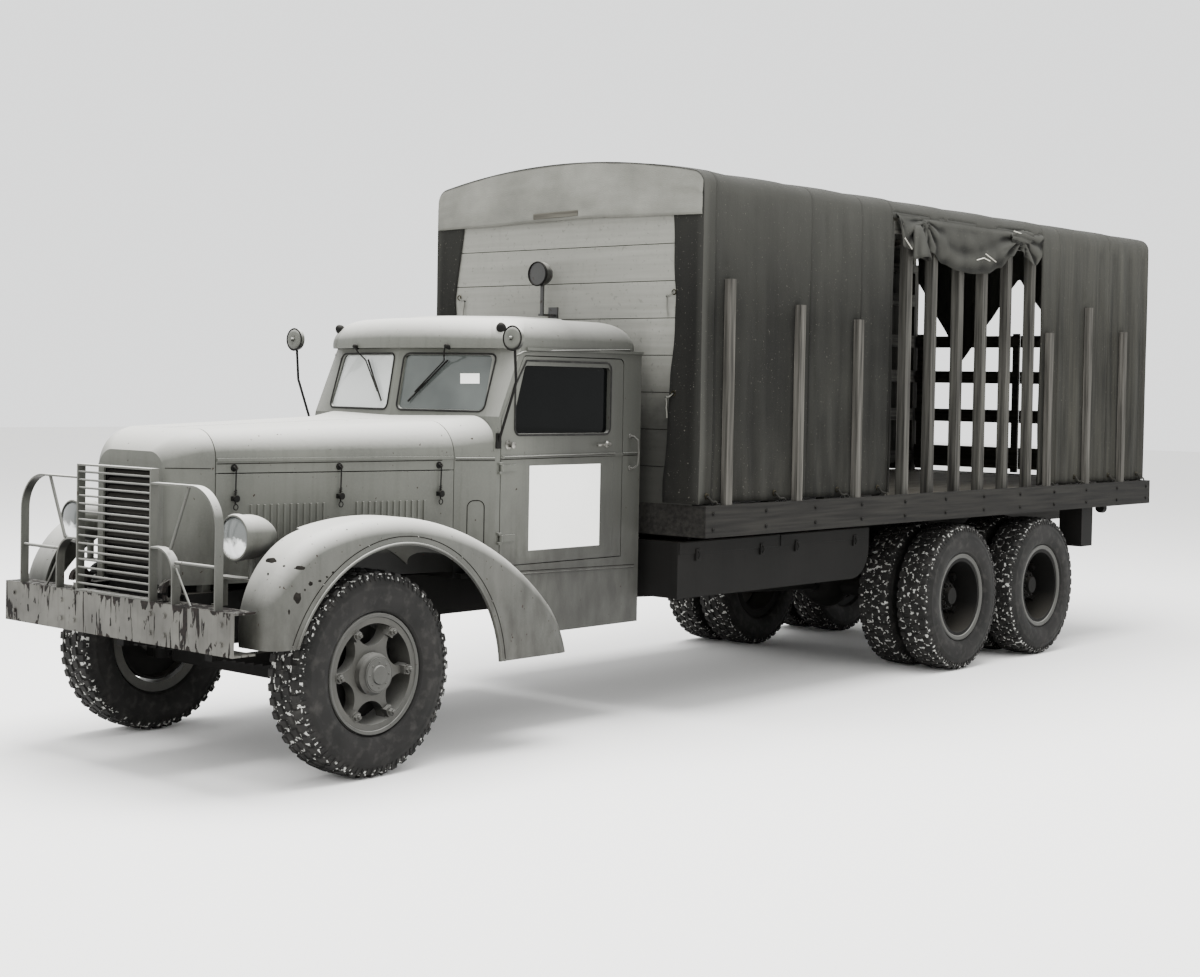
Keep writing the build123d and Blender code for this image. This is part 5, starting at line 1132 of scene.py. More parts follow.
def swag(side):
    def point(j, k):
        y, share = 0.80 + 2.20 * j / 110, k / 24
        z = SWAG_TOP + (along_edge(y) - SWAG_TOP) * share
        to_knot = math.atan2(z - KNOT_AT[1], KNOT_AT[0] - y)
        to_roll = math.atan2(z - ROLL_AT[1], y - ROLL_AT[0])
        knot_pull = math.exp(-((KNOT_AT[0] - y) / 0.55) ** 2)
        roll_pull = math.exp(-((y - ROLL_AT[0]) / 0.40) ** 2)
        folds = 0.016 * math.sin(to_knot * 13) * knot_pull
        folds += 0.013 * math.sin(to_roll * 11 + 1) * roll_pull
        folds += 0.010 * math.sin((along_edge(y) - z) * 40 + y * 3) * share * (1 - knot_pull)
        folds += 0.008 * wander(y * 6, z * 7, side * 3)
        belly = 0.014 * math.sin(math.pi * share) + 0.012 * share
        out = min(0.030, max(-0.004, (belly + folds) * min(1.0, share * 4)))
        tuck = 0.012 * max(0.0, min(1.0, (z - 3.335) / 0.02))
        return Vector((side * (1.169 + out - tuck), y, z))

    return sheet_of(110, 24, point)


def rolled_sleeve(side):
    """A rolled end of cloth, like a short bucket hung below the gather, its dark mouth facing down."""
    def point(k, j):
        share, turn = k / 10, 2 * math.pi * j / 32
        centre = Vector((side * (1.200 + 0.012 * share), 1.05 + 0.05 * share, 3.285 - 0.235 * share))
        radius = 0.026 + 0.062 * share ** 0.6
        radius += 0.005 * math.sin(turn * 5 + share * 4) * share + 0.004 * math.sin(turn * 3 + 2)
        across, along = side * 0.50 * radius * math.cos(turn), radius * 1.20 * math.sin(turn)
        return centre + Vector((across, along, 0.012 * math.cos(turn * 2) * share))

    return sheet_of(10, 32, point)


def knot(side):
    """Pinched folds of cloth under the eave, tied with cord."""
    def point(k, j):
        share, turn = k / 14, 2 * math.pi * j / 28
        radius = 0.035 + 0.028 * math.sin(share * math.pi) + 0.012 * math.sin(turn * 6 + share * 9)
        z = 3.292 + 0.028 * share + radius * 0.8 * math.sin(turn)
        return Vector((side * (1.186 + 0.42 * radius * math.cos(turn)), 2.46 + 0.36 * share, z))

    return sheet_of(14, 28, point)


def on_side(px, py, x):
    """The place on the upright plane at x that the camera sees at a place in the picture."""
    aim = seen_through(px, py)
    return CAMERA_AT + aim * ((x - CAMERA_AT.x) / aim.x)


CORD_ENDS = (
    # places in the picture
    ((905, 238), (912, 249)), ((977, 260), (984, 258), (990, 261)), ((986, 254), (996, 262)),
    ((1014, 231), (1028, 236)),
)
cords, hems = bmesh.new(), bmesh.new()
for side, _ in SIDES:
    for pixels in CORD_ENDS:
        places = [on_side(px, py, 1.2065) for px, py in pixels]
        add_rod(cords, [Vector((p.x * side, p.y, p.z)) for p in places], 0.0038, 6)
    for y in (OPENING[0] - 0.012, OPENING[1] + 0.012):
        curl = []
        for z in [1.372 + 0.047 * k for k in range(42)]:
            out = 1.172 + 0.004 * wander(y, z * 3, side)
            curl.append(Vector((side * out, y + 0.006 * math.sin(z * 4 + y), z)))
        add_rod(hems, curl, 0.0085, 8)
add_piece("swag_cord_ends", cords, sash_cord, slot="canvas", angle=60)
add_piece("opening_hem_rolls", hems, duck_seam, slot="canvas", angle=60)
for side, word in SIDES:
    cloth_piece(f"opening_swag_{word}", swag(side), (0.62, 2.35))
    cloth_piece(f"rolled_sleeve_{word}", rolled_sleeve(side), (0.42, 0.24))
    cloth_piece(f"gathered_knot_{word}", knot(side), (0.34, 0.42))

# %% [markdown]
# The rear curtain is tied back as two points of cloth that hang behind the racks' top rails, so that light
# shows between them. Each hangs in upright folds that spread towards its tip.

# %% Rear curtain
def roof_height(x):
    """Height of the cover's outline over a point x from the middle."""
    return min((abs(abs(px) - x), z) for px, z in OUTLINE if z > 3.4)[1]


def rear_curtain():
    def point(j, k):
        u, share = -1 + 2 * j / 120, k / 40
        out = abs(u) * 1.05
        low = 2.38 + 0.75 * abs(out - 0.57) / (0.56 if out < 0.57 else 0.48)
        top = roof_height(abs(u) * 1.06) - 0.022
        z = top + (min(low, 3.13) - top) * share
        x = u * (1.045 + 0.015 * max(0.0, min(1.0, (z - 3.325) / 0.05)))
        fold = 0.009 * math.sin(x * 26 + 2 * share) * (0.3 + 0.7 * share)
        fold += 0.012 * wander(x * 3, z * 1.5, 21)
        return Vector((x, 4.890 + max(-0.008, min(0.017, fold)), z))

    return sheet_of(120, 40, point)


cloth_piece("rear_curtain", rear_curtain(), (2.4, 1.22))

# %% [markdown]
# The hem is lashed down to eye bolts along the bed rail. Each lashing is a brass-rimmed eyelet, two turns of
# dark cotton cord and a loose tail that lies on the rail. Two more ties on each side hold the wrapped corners
# to studs on the bulkhead.

# %% Eyelets, eye bolts and lashings
def rope_path(start, end, slack, seed):
    """A short slack line between two points, with a little irregularity."""
    start, end = Vector(start), Vector(end)
    path = []
    for k in range(9):
        t = k / 8
        wobble = noise.noise_vector(Vector((seed, t * 3, 0))) * 0.006 * math.sin(math.pi * t)
        path.append(start.lerp(end, t) + Vector((0, 0, -slack * math.sin(math.pi * t))) + wobble)
    return path


# noise_vector takes its seed from the clock unless it is given one
noise.seed_set(7)
eyelets, eye_bolts, lashings = bmesh.new(), bmesh.new(), bmesh.new()
for side, _ in SIDES:
    for number, y in enumerate(TIES):
        hole = Vector((side * 1.1745, y, 1.408))
        brass = [(-0.002, 0.013), (0.002, 0.013), (0.003, 0.018), (-0.002, 0.020)]
        add_turned(eyelets, brass, hole, (side, 0, 0), 16)
        foot = Vector((side * 1.197, y + 0.035, 1.349))
        ring = [foot + Vector((0, 0.014 * math.sin(a), 0.014 - 0.014 * math.cos(a))) for a in full_turn(12)]
        add_rod(eye_bolts, ring, 0.0035, 6, closed=True)
        knot = foot + Vector((side * 0.004, 0, 0.022))
        for turn in range(2):
            loop = hole + Vector((side * 0.006, 0.008 * turn, 0))
            add_rod(lashings, rope_path(loop, knot, 0.004, number + turn), 0.006, 6)
        tail = knot + Vector((side * 0.006, 0.035 + 0.015 * (number % 3), -0.014))
        add_rod(lashings, rope_path(knot, tail, -0.010, number + 5), 0.006, 6)
    for x, z in CORNER_TIES:
        hole = Vector((side * x, COVER_FRONT - 0.001, z))
        brass = [(-0.002, 0.012), (0.002, 0.012), (0.003, 0.017), (-0.002, 0.019)]
        add_turned(eyelets, brass, hole, (0, -1, 0), 16)
        stud = hole + Vector((-side * 0.055, 0.004, -0.025))
        mouth = hole + Vector((0, -0.008, 0))
        for turn in range(2):
            path = rope_path(mouth, stud + Vector((0, -0.006, 0.006 * turn)), 0.008, turn + x)
            add_rod(lashings, path, 0.004, 6)
        path = rope_path(stud + Vector((0, -0.006, 0)), stud + Vector((side * 0.012, -0.008, -0.13)), 0.0, z)
        add_rod(lashings, path, 0.004, 6)
        head = [(-0.004, 0.002), (0.006, 0.007), (0.009, 0.006), (0.010, 0.0)]
        add_turned(eye_bolts, head, stud, (0, -1, 0), 10)
add_piece("cover_eyelets", eyelets, dull_brass, slot="dark_metal")
add_piece("rail_eye_bolts", eye_bolts, chassis_enamel, slot="dark_metal")
add_piece("cover_lashings", lashings, duck_seam, slot="canvas", angle=60)

batten = bmesh.new()
tilt = Matrix.Rotation(math.radians(-1.2), 4, "Y")
add_block(batten, (-0.248, -1.486, 3.205), (0.142, -1.478, 3.243), tilt)
add_piece("valance_batten", batten, cross_pine, slot="rack_wood", edge=0.002)
print("ties:", 2 * len(TIES + CORNER_TIES))

# %% [markdown]
# Trim has to lie exactly on the panels, which are curved. A ray is shot at the CAD surface for each point of
# a bead, seam or plate, so the trim follows the panel whatever its shape is. Beads and rubbers are thin
# rods on such points. Blank plates are skins a millimetre thick.

# %% Beads and skins that follow the CAD surface
def trace(node, starts, direction, lift=0.0):
    """Points where rays from starts meet a node, lifted off its surface. Rays that miss are left out."""
    found = []
    for start in starts:
        place, normal = surface_at(node, start, direction)
        if place is not None:
            found.append(place + normal * lift)
    return found


def rounded_loop(low, high, corner, steps=8, lean=0.0):
    """A rounded rectangle as (u, v) points. lean moves its top corners along u."""
    points = []
    centres = ((high[0] - corner, high[1] - corner), (low[0] + corner, high[1] - corner),
               (low[0] + corner, low[1] + corner), (high[0] - corner, low[1] + corner))
    for number, (u, v) in enumerate(centres):
        for k in range(steps + 1):
            turn = math.pi / 2 * (number + k / steps)
            points.append((u + corner * math.cos(turn), v + corner * math.sin(turn)))
    full = []
    for first, second in zip(points, points[1:] + points[:1]):
        length = math.hypot(second[0] - first[0], second[1] - first[1])
        count = max(1, round(length / 0.05))
        full += [tuple(a + (b - a) * i / count for a, b in zip(first, second)) for i in range(count)]
    return [(u + lean * (v - low[1]) / (high[1] - low[1]), v) for u, v in full]


def add_skin(shape, node, us, vs, start_of, direction, lift=0.0012):
    """A thin plate over a grid of rays, with its rim sunk into the panel."""
    tops = [trace(node, [start_of(u, v) for v in vs], direction, lift) for u in us]
    grid = add_grid(shape, tops)
    rim = list(grid[0]) + [row[-1] for row in grid[1:]] + grid[-1][-2::-1] + [row[0] for row in grid[-2:0:-1]]
    away = Vector(direction).normalized() * (lift + 0.002)
    low = [shape.verts.new(v.co + away) for v in rim]
    for k in range(len(rim)):
        shape.faces.new((rim[k], rim[k - 1], low[k - 1], low[k]))


def spread(low, high, count):
    return [low + (high - low) * i / count for i in range(count + 1)]

# %% [markdown]
# The cab's trim: rubber round every pane, blank white plates on the doors, handles, wipers, marker lamps, a
# crease down each door's rear edge, and the outline of the vent door in the cowl.

# %% Window rubbers, door plates and handles
for side, word in SIDES:
    door, body = f"door_{word}", f"door_{word}_body"
    rubbers, plate, handle, seams_shape = bmesh.new(), bmesh.new(), bmesh.new(), bmesh.new()
    loop = rounded_loop((-2.778, 1.791), (-1.901, 2.231), 0.045)
    bead = trace(door, [(side * 1.3, y, z) for y, z in loop], (-side, 0, 0), 0.002)
    add_rod(rubbers, bead, 0.006, 6, closed=True)
    add_piece(f"window_rubber_{word}", rubbers, rubber, body, "tyre")
    add_skin(plate, door, spread(-2.640, -1.990, 14), spread(1.107, 1.610, 12),
             lambda u, v: (side * 1.3, u, v), (-side, 0, 0))
    add_piece(f"blank_plate_{word}", plate, white_enamel, body, "cab_paint")
    face, _ = surface_at(door, (side * 1.3, -1.93, 1.73), (-side, 0, 0))
    rose = [(-0.002, 0.0), (-0.002, 0.021), (0.006, 0.021), (0.010, 0.016), (0.024, 0.010), (0.032, 0.010),
            (0.036, 0.0)]
    add_turned(handle, rose, face, (side, 0, 0), 20, closed=False)
    lever = [face + Vector((side * out, along, drop)) for out, along, drop in
             ((0.028, 0.0, 0.0), (0.036, -0.06, -0.003), (0.032, -0.125, -0.004))]
    add_rod(handle, lever, 0.008, 8)
    knob, _ = surface_at(door, (side * 1.3, -2.83, 1.735), (-side, 0, 0))
    add_turned(handle, [(-0.002, 0.0), (-0.002, 0.027), (0.004, 0.027), (0.010, 0.014), (0.030, 0.012),
                        (0.036, 0.019), (0.046, 0.019), (0.050, 0.012), (0.050, 0.0)], knob, (side, 0, 0), 20,
               closed=False)
    add_piece(f"door_handle_{word}", handle, bright_steel, body, "mirror_metal")
    drop = trace(door, [(side * 1.3, -1.862, z) for z in spread(1.065, 1.63, 16)], (-side, 0, 0), -0.0015)
    add_rod(seams_shape, drop, 0.003, 6)
    add_piece(f"door_creases_{word}", seams_shape, cab_enamel, body, "cab_paint")
    grab = bmesh.new()
    high, _ = surface_at("cab_shell", (side * 1.3, -1.700, 1.775), (-side, 0, 0))
    low, _ = surface_at("cab_shell", (side * 1.3, -1.700, 1.575), (-side, 0, 0))
    out = Vector((side * 0.050, 0, 0))
    bar = [high - out * 0.1, high + out * 0.6, high + out + Vector((0, 0.014, -0.022)),
           (high + low) / 2 + out * 1.1 + Vector((0, 0.018, 0)), low + out + Vector((0, 0.014, 0.022)),
           low + out * 0.6, low - out * 0.1]
    add_rod(grab, bar, 0.0065, 8)
    for foot in (high, low):
        add_turned(grab, [(-0.002, 0), (-0.002, 0.018), (0.004, 0.018), (0.008, 0.010), (0.008, 0)], foot,
                   (side, 0, 0), 16, closed=False)
    add_piece(f"grab_handle_{word}", grab, wheel_enamel, slot="cab_paint")
print("door trim on both sides")

# %% Windscreen rubbers, wipers and marker lamps
screen, wipers, lamps = bmesh.new(), bmesh.new(), bmesh.new()
for side, _ in SIDES:
    loop = rounded_loop((0.040, 1.926), (0.672, 2.266), 0.040)
    bead = trace("cab_shell", [(side * x, -3.5, z) for x, z in loop], (0, 1, 0), 0.002)
    add_rod(screen, bead, 0.006, 6, closed=True)
    pivot = trace("cab_shell", [(side * 0.40, -3.5, 2.305)], (0, 1, 0), 0.0)[0]
    tip = trace("cab_glass", [(side * 0.16, -3.5, 2.03)], (0, 1, 0), 0.022)[0]
    elbow = trace("cab_glass", [(side * 0.335, -3.5, 2.215)], (0, 1, 0), 0.036)[0]
    blade_top = trace("cab_glass", [(side * 0.345, -3.5, 2.225)], (0, 1, 0), 0.014)[0]
    blade_low = trace("cab_glass", [(side * 0.115, -3.5, 1.975)], (0, 1, 0), 0.012)[0]
    add_turned(wipers, [(-0.01, 0), (-0.01, 0.014), (0.022, 0.014), (0.030, 0.010), (0.034, 0)], pivot,
               (0, -1, 0.25), 14, closed=False)
    hub = pivot + Vector((0, -0.028, 0.006))
    add_rod(wipers, [hub, hub + (elbow - hub) * 0.5 + Vector((0, -0.006, 0)), elbow, tip], 0.0045, 6)
    add_rod(wipers, [tip, (blade_top + blade_low) / 2], 0.004, 6)
    add_rod(wipers, [blade_top, (blade_top + blade_low) / 2, blade_low], 0.0055, 6)
    foot, normal = surface_at("cab_shell", (side * 0.70, -2.80, 3.2), (0, 0, -1))
    lens = [(-0.004, 0), (-0.004, 0.030), (0.010, 0.030), (0.020, 0.026), (0.034, 0.016), (0.040, 0)]
    add_turned(lamps, lens, foot, normal, 20, closed=False)
add_piece("screen_rubbers", screen, rubber, slot="tyre")
add_piece("wipers", wipers, chassis_enamel, slot="dark_metal")
add_piece("marker_lamps", lamps, chassis_enamel, slot="dark_metal")

cowl_lines = bmesh.new()
for side, _ in SIDES:
    outline = [(-3.105, 1.16), (-3.105, 1.36)]
    for y, start, end in ((-3.065, math.pi, math.pi / 2), (-3.040, math.pi / 2, 0)):
        outline += [(y + 0.040 * math.cos(a), 1.375 + 0.040 * math.sin(a)) for a in spread(start, end, 6)]
    outline += [(-3.000, 1.36), (-3.000, 1.10)]
    path = trace("cowl", [(side * 1.4, y, z) for y, z in outline], (-side, 0, 0), -0.0005)
    if len(path) > 3:
        add_rod(cowl_lines, path, 0.0032, 6)
add_piece("vent_door_outline", cowl_lines, seam_shadow, slot="dark_metal")
print("cab front trim done")

# %% [markdown]
# Each hood lid is held by three spring latches a side: an eye bolted to the lid, and below it a rod with a
# coil spring and a pull ring, hooked over a keeper on the side panel.

# %% Hood latches
LATCH_Y = (-4.583, -3.946, -3.293)
keepers = {"left": bmesh.new(), "right": bmesh.new()}
pulls = bmesh.new()
for side, word in SIDES:
    for y in LATCH_Y:
        lid, _ = surface_at(f"hood_{word}", (side * 1.3, y, 1.622), (-side, 0, 0))
        panel, _ = surface_at("hood_sides", (side * 1.3, y, 1.46), (-side, 0, 0))
        if lid is None or panel is None:
            continue
        out = Vector((side, 0, 0))
        shape = keepers[word]
        boss = [(-0.002, 0), (-0.002, 0.020), (0.004, 0.020), (0.006, 0.012), (0.012, 0.010), (0.014, 0)]
        add_turned(shape, boss, lid, out, 16, closed=False)
        eye = ((0.010, -0.012, 0.008), (0.022, -0.008, -0.002), (0.024, 0, -0.012), (0.022, 0.008, -0.002),
               (0.010, 0.012, 0.008))
        add_rod(shape, [lid + out * far + Vector((0, y_off, z_off)) for far, y_off, z_off in eye], 0.0035, 6)
        top = lid + out * 0.020 + Vector((0, 0, -0.014))
        foot = panel + out * 0.016
        add_rod(pulls, [top, (top + foot) / 2, foot, foot + Vector((0, 0, -0.03))], 0.004, 6)
        coil = []
        for k in range(49):
            turn, share = 2 * math.pi * k / 8, k / 48
            drop = 0.055 * (1 - share) - 0.01
            coil.append(foot + Vector((0.008 * math.cos(turn), 0.008 * math.sin(turn), drop)))
        add_rod(pulls, coil, 0.0022, 5)
        add_turned(pulls, [(-0.016, 0), (-0.016, 0.013), (0.010, 0.019), (0.016, 0.019), (0.018, 0)], foot,
                   out, 14, closed=False)
        ring = [foot + Vector((0.004 * side, 0.015 * math.sin(a), -0.045 - 0.015 * math.cos(a)))
                for a in full_turn(14)]
        add_rod(pulls, ring, 0.003, 6, closed=True)
        low, high = Vector((-0.004 * side, -0.016, -0.012)), Vector((0.012 * side, 0.016, 0.012))
        add_block(pulls, panel + low, panel + high)
for _, word in SIDES:
    add_piece(f"hood_catch_eyes_{word}", keepers[word], chassis_enamel, f"hood_{word}_body", "dark_metal")
add_piece("hood_latches", pulls, chassis_enamel, slot="dark_metal")
print("hood latches:", len(SIDES) * len(LATCH_Y))

# %% [markdown]
# The fenders have a fine dark seam line that runs round the wheel arch a little way out, and a rolled bead
# round the arch itself. The headlamps have painted rims and domed fluted lenses. The bumper is bolted on and
# the guard is riveted.

# %% Fender beads and headlamp rims
beads, creases = bmesh.new(), bmesh.new()
ARCH = ((-4.692, 0.742), (-3.990, 1.228), (-3.215, 0.538))


def arch_points(grow, count=60):
    """The wheel arch's outline in (y, z), grown outwards."""
    circle = bow_arc(*ARCH, count)
    centre = circle_centre(*ARCH)
    radius = math.hypot(ARCH[0][0] - centre[0], ARCH[0][1] - centre[1])
    scale = 1 + grow / radius
    return [(centre[0] + (y - centre[0]) * scale, centre[1] + (z - centre[1]) * scale) for y, z in circle]


for side, _ in SIDES:
    lip = [(side * 1.4, y, z) for y, z in arch_points(0.010)]
    add_rod(beads, trace("front_fenders", lip, (-side, 0, 0), 0.001), 0.0075, 8)
    fold = [(side * 1.4, y, z) for y, z in arch_points(0.048)]
    add_rod(creases, trace("front_fenders", fold, (-side, 0, 0), 0.0002), 0.0026, 6)
add_piece("fender_beads", beads, fender_enamel, slot="fender_paint")
add_piece("fender_seams", creases, seam_shadow, slot="dark_metal")

LENS_R = 0.1065
rims, flutes = bmesh.new(), bmesh.new()
for side, _ in SIDES:
    centre = Vector((side * 0.715, -4.780, 1.280))
    rim = [(0.020, 0.117), (0.020, 0.1215), (-0.004, 0.1225), (-0.014, 0.117), (-0.016, 0.109),
           (-0.010, 0.106), (0.004, 0.108)]
    add_turned(rims, rim, centre, (0, 1, 0), 56)
    add_rod(rims, [centre + Vector((0, 0.016, -0.121)), centre + Vector((0, 0.006, -0.128))], 0.006, 8)
    rows = []
    for i in range(-12, 13):
        x = 0.0088 * i
        half = math.sqrt(max(0.0, LENS_R ** 2 - x * x))
        row = []
        for k in range(13):
            z = -half + 2 * half * k / 12
            dome = 0.015 * (1 - (x * x + z * z) / LENS_R ** 2)
            row.append(centre + Vector((x, -0.0075 - dome - (0.0018 if i % 2 else 0.0), z)))
        rows.append(row)
    add_grid(flutes, rows)
add_piece("headlamp_rims", rims, cab_enamel)
fluted = add_piece("headlamp_flutes", flutes, lens_glass, slot="glass", angle=80)
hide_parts("headlight_lenses")
wall = fluted.modifiers.new("glass_thickness", "SOLIDIFY")
wall.thickness, wall.offset = 0.003, 0.0
print("fenders and lamps done")

# %% Bolts and rivets on the front
def heads(node, starts, direction):
    """Spots on a node's surface for fasteners, with their facing."""
    spots = []
    for start in starts:
        place, normal = surface_at(node, start, direction)
        if place is not None:
            spots.append((tuple(place), tuple(normal)))
    return spots


front = [(x, -5.5, z) for x in (-0.92, -0.46, -0.34, 0.34, 0.46, 0.92) for z in (0.775, 0.875)]
bumper_spots = heads("front_bumper", front, (0, 1, 0))
fasten("bumper_bolts", bumper_spots, BOLT, bumper_enamel, slot="bumper_paint")
uprights = [(side * 0.318, -5.5, z) for side, _ in SIDES for z in spread(0.98, 1.58, 5)]
guard_spots = heads("brush_guard", uprights, (0, 1, 0))
if guard_spots:
    fasten("guard_rivets", guard_spots, RIVET, cab_enamel, slot="cab_paint")
fender_spots, rail_spots = [], []
for side, _ in SIDES:
    inward = (-side, 0, 0)
    arch = [(side * 1.4, y, z) for y, z in arch_points(0.045, 6)]
    foot = [(side * 1.4, y, 1.205) for y in spread(-4.55, -3.30, 6)]
    rail = [(side * 1.5, y, z) for y in spread(-1.38, 4.95, 11) for z in (1.20, 1.30)]
    fender_spots += heads("front_fenders", arch, inward) + heads("hood_sides", foot, inward)
    rail_spots += heads("bed_frame", rail, inward)
fasten("panel_rivets", fender_spots, RIVET, fender_enamel, slot="fender_paint")
fasten("rail_bolts", rail_spots, BOLT, chassis_enamel, slot="dark_metal")
print("fasteners:", len(bumper_spots) + len(guard_spots) + len(fender_spots) + len(rail_spots))

# %% [markdown]
# Behind the front spokes sits the brake drum, and the boards of the bulkhead have tongues in their grooves,
# so that neither wheel nor bulkhead lets the light through. The left fender is bare rust in a few spots.

# %% Brake drums, bulkhead tongues and rust spots
FRONT_AXLE_Y = -4.1
BULKHEAD_FOOT, BOARD_PITCH, GROOVE = 1.3503, 0.236, 0.0025

for side, word in SIDES:
    drum = bmesh.new()
    wall = [(0.905, 0.062), (0.905, 0.246), (0.900, 0.252), (0.845, 0.252), (0.845, 0.240), (0.893, 0.236),
            (0.893, 0.062)]
    add_turned(drum, [(side * a, r) for a, r in wall], (0, FRONT_AXLE_Y, TYRE_R), (1, 0, 0), 48)
    add_piece(f"brake_drum_{word}", drum, chassis_enamel, f"front_wheel_{word}_body", "dark_metal")

# The tongues are coloured with the dark gap paint: painted shade in the grooves between the boards.
tongues = bmesh.new()
for row in range(1, 9):
    z = BULKHEAD_FOOT + BOARD_PITCH * row - GROOVE
    add_block(tongues, (-1.108, -1.443, z - 0.008), (1.108, -1.437, z + 0.008))
add_piece("bulkhead_tongues", tongues, seam_shadow, slot="bulkhead_wood")


def rust_spot(shape, node, px, py, wide, tall, seed):
    """A ragged flat blob lying on a node where the picture shows bare rust."""
    rows = []
    for k in range(7):
        row = []
        for j in range(21):
            turn = 2 * math.pi * j / 20
            ragged = wander(math.cos(turn) * 1.7, math.sin(turn) * 1.7, seed)
            reach = k / 6 * (1 + 0.35 * ragged)
            aim = seen_through(px + wide * reach * math.cos(turn), py + tall * reach * math.sin(turn))
            place, normal = surface_at(node, CAMERA_AT, aim)
            if place is None:
                return
            row.append(place + normal * (0.0007 if k < 6 else -0.001))
        rows.append(row)
    add_grid(shape, rows)


rust = bmesh.new()
SPOTS = (
    # place in the picture, half width and half height there
    (297.7, 598, 4.6, 5.8), (271, 560.5, 6.5, 2.8), (300, 568, 6.5, 2.2), (310.6, 583.6, 2.2, 2.6),
    (320, 581, 1.8, 1.3), (327, 577, 1.4, 1.2), (333, 572.5, 1.7, 1.2), (289, 612, 1.2, 2.6),
    (284, 566, 1.4, 1.1), (305, 590, 1.1, 1.4), (268, 574, 1.0, 1.6),
)
for seed, (px, py, wide, tall) in enumerate(SPOTS):
    rust_spot(rust, "front_fenders", px, py, wide, tall, seed * 3.1)
add_piece("fender_rust", rust, seam_shadow, slot="fender_paint", angle=80)
print("rust spots:", len(SPOTS))

# %% [markdown]
# Panels meet in fine dark joints. The belt and the sill have a rolled bead beside theirs, and a drip rail
# runs over the door, all with a top that catches the light. Each is laid on the CAD surface where the picture
# shows it, given as places in the picture, with its mirror image on the far side. Those on a door or a lid
# ride on it.

# %% Panel joints and rolled beads seen in the picture
JOINTS = {
    "nose_joint": ("nose_shell", ((165, 468.2), (213, 468.8))),
    "hood_joint": ("hood", ((217, 464.0), (452, 460.2))),
    "cowl_joint": ("cowl", ((455.5, 460.6), (498.5, 460.6))),
    "door_belt_joint": ("door", ((501, 459.8), (620, 455.6))),
    "cab_belt_joint": ("cab_shell", ((623, 455.6), (640, 455.0))),
    "sill_joint": ("cab_shell", ((516, 571.4), (639, 564.0))),
    "cowl_top_joint": ("cowl", ((345, 421.5), (380, 419.4), (412, 420.4), (453, 424), (472, 428),
                                (482.6, 437), (487, 447), (498.5, 447))),
}
BEADS = {
    "cowl_bead": ("cowl", ((455.5, 458.4), (498.5, 458.4))),
    "door_belt_bead": ("door", ((501, 457.6), (620, 453.4))),
    "cab_belt_bead": ("cab_shell", ((623, 453.4), (640, 452.8))),
    "sill_bead": ("cab_shell", ((519, 574.2), (638, 566.6))),
    "drip_rail": ("cab_shell", ((517, 355.6), (523, 352.2), (530, 351.2), (639, 350.0))),
}


def seen_line(shape, node, pixels, radius, lift=0.0):
    """A line on a CAD surface along places in the picture."""
    path = []
    for (x0, y0), (x1, y1) in zip(pixels, pixels[1:]):
        for k in range(24):
            aim = seen_through(x0 + (x1 - x0) * k / 24, y0 + (y1 - y0) * k / 24)
            place, normal = surface_at(node, CAMERA_AT, aim)
            if place is not None and (not path or (place - path[-1]).length < 0.15):
                path.append(place + normal * lift)
    if len(path) > 2:
        add_rod(shape, path, radius, 6)
    return path


for lines, radius, lift, material, slot in ((JOINTS, 0.0024, 0.0, seam_shadow, "dark_metal"),
                                            (BEADS, 0.0055, 0.001, cab_enamel, "cab_paint")):
    for name, (node, pixels) in lines.items():
        moving = node in ("hood", "door")
        for side, word in SIDES:
            shape = bmesh.new()
            path = seen_line(shape, f"{node}_left" if moving else node, pixels, radius, lift)
            if side < 0:
                bmesh.ops.scale(shape, vec=(-1, 1, 1), verts=shape.verts)
            add_piece(f"{name}_{word}", shape, material, f"{node}_{word}_body" if moving else "chassis", slot)
        print(name, "height", round(path[0].z, 3), "to", round(path[-1].z, 3), "points", len(path))

LABEL_ACROSS, LABEL_DOWN = (460.5, 479.5), (373.5, 383.5)


def on_screen(k, i):
    aim = seen_through(spread(*LABEL_ACROSS, 4)[i], spread(*LABEL_DOWN, 3)[k])
    place, normal = surface_at("cab_glass", CAMERA_AT, aim)
    return place + normal * 0.0012


add_piece("blank_screen_label", sheet_of(3, 4, on_screen), white_enamel, slot="cab_paint")

# %% [markdown]
# The mirrors are pressed steel dishes on bent arms. The work lamp on the bulkhead has a dark rim. Below
# the bed hang lidded boxes, and a tail lamp sits at each rear corner.

# %% Mirror dishes, work lamp, boxes and tail lamps
dishes, dish_rims = bmesh.new(), bmesh.new()
for side, _ in SIDES:
    centre = Vector((side * 0.950, -2.975, 2.354))
    dish = [(0.0, 0.0), (-0.010, 0.022), (-0.006, 0.056), (0.002, 0.0665), (0.012, 0.0700), (0.024, 0.0690),
            (0.032, 0.0665), (0.034, 0.060), (0.032, 0.0)]
    add_turned(dishes, dish, centre, (0, 1, 0), 40, closed=False)
    turns = spread(0, 2 * math.pi, 40)[:-1]
    rolled = [centre + Vector((0.070 * math.cos(a), 0.0, 0.070 * math.sin(a))) for a in turns]
    add_rod(dish_rims, rolled, 0.0040, 6, closed=True)
    stem = [(-0.03, 0), (-0.03, 0.010), (-0.010, 0.012), (-0.008, 0.0)]
    add_turned(dishes, stem, centre, (0, 1, 0), 12, closed=False)
add_piece("mirror_dishes", dishes, cab_enamel, slot="cab_paint")
add_piece("mirror_rims", dish_rims, chassis_enamel, slot="dark_metal")

lamp_rim = bmesh.new()
lamp_at = (-0.070, -1.630, 2.825)
ring = [(0.010, 0.080), (-0.002, 0.083), (-0.008, 0.080), (-0.008, 0.074), (0.0, 0.073)]
add_turned(lamp_rim, ring, lamp_at, (0, 1, 0), 40)
add_piece("work_lamp_rim", lamp_rim, chassis_enamel, slot="dark_metal")

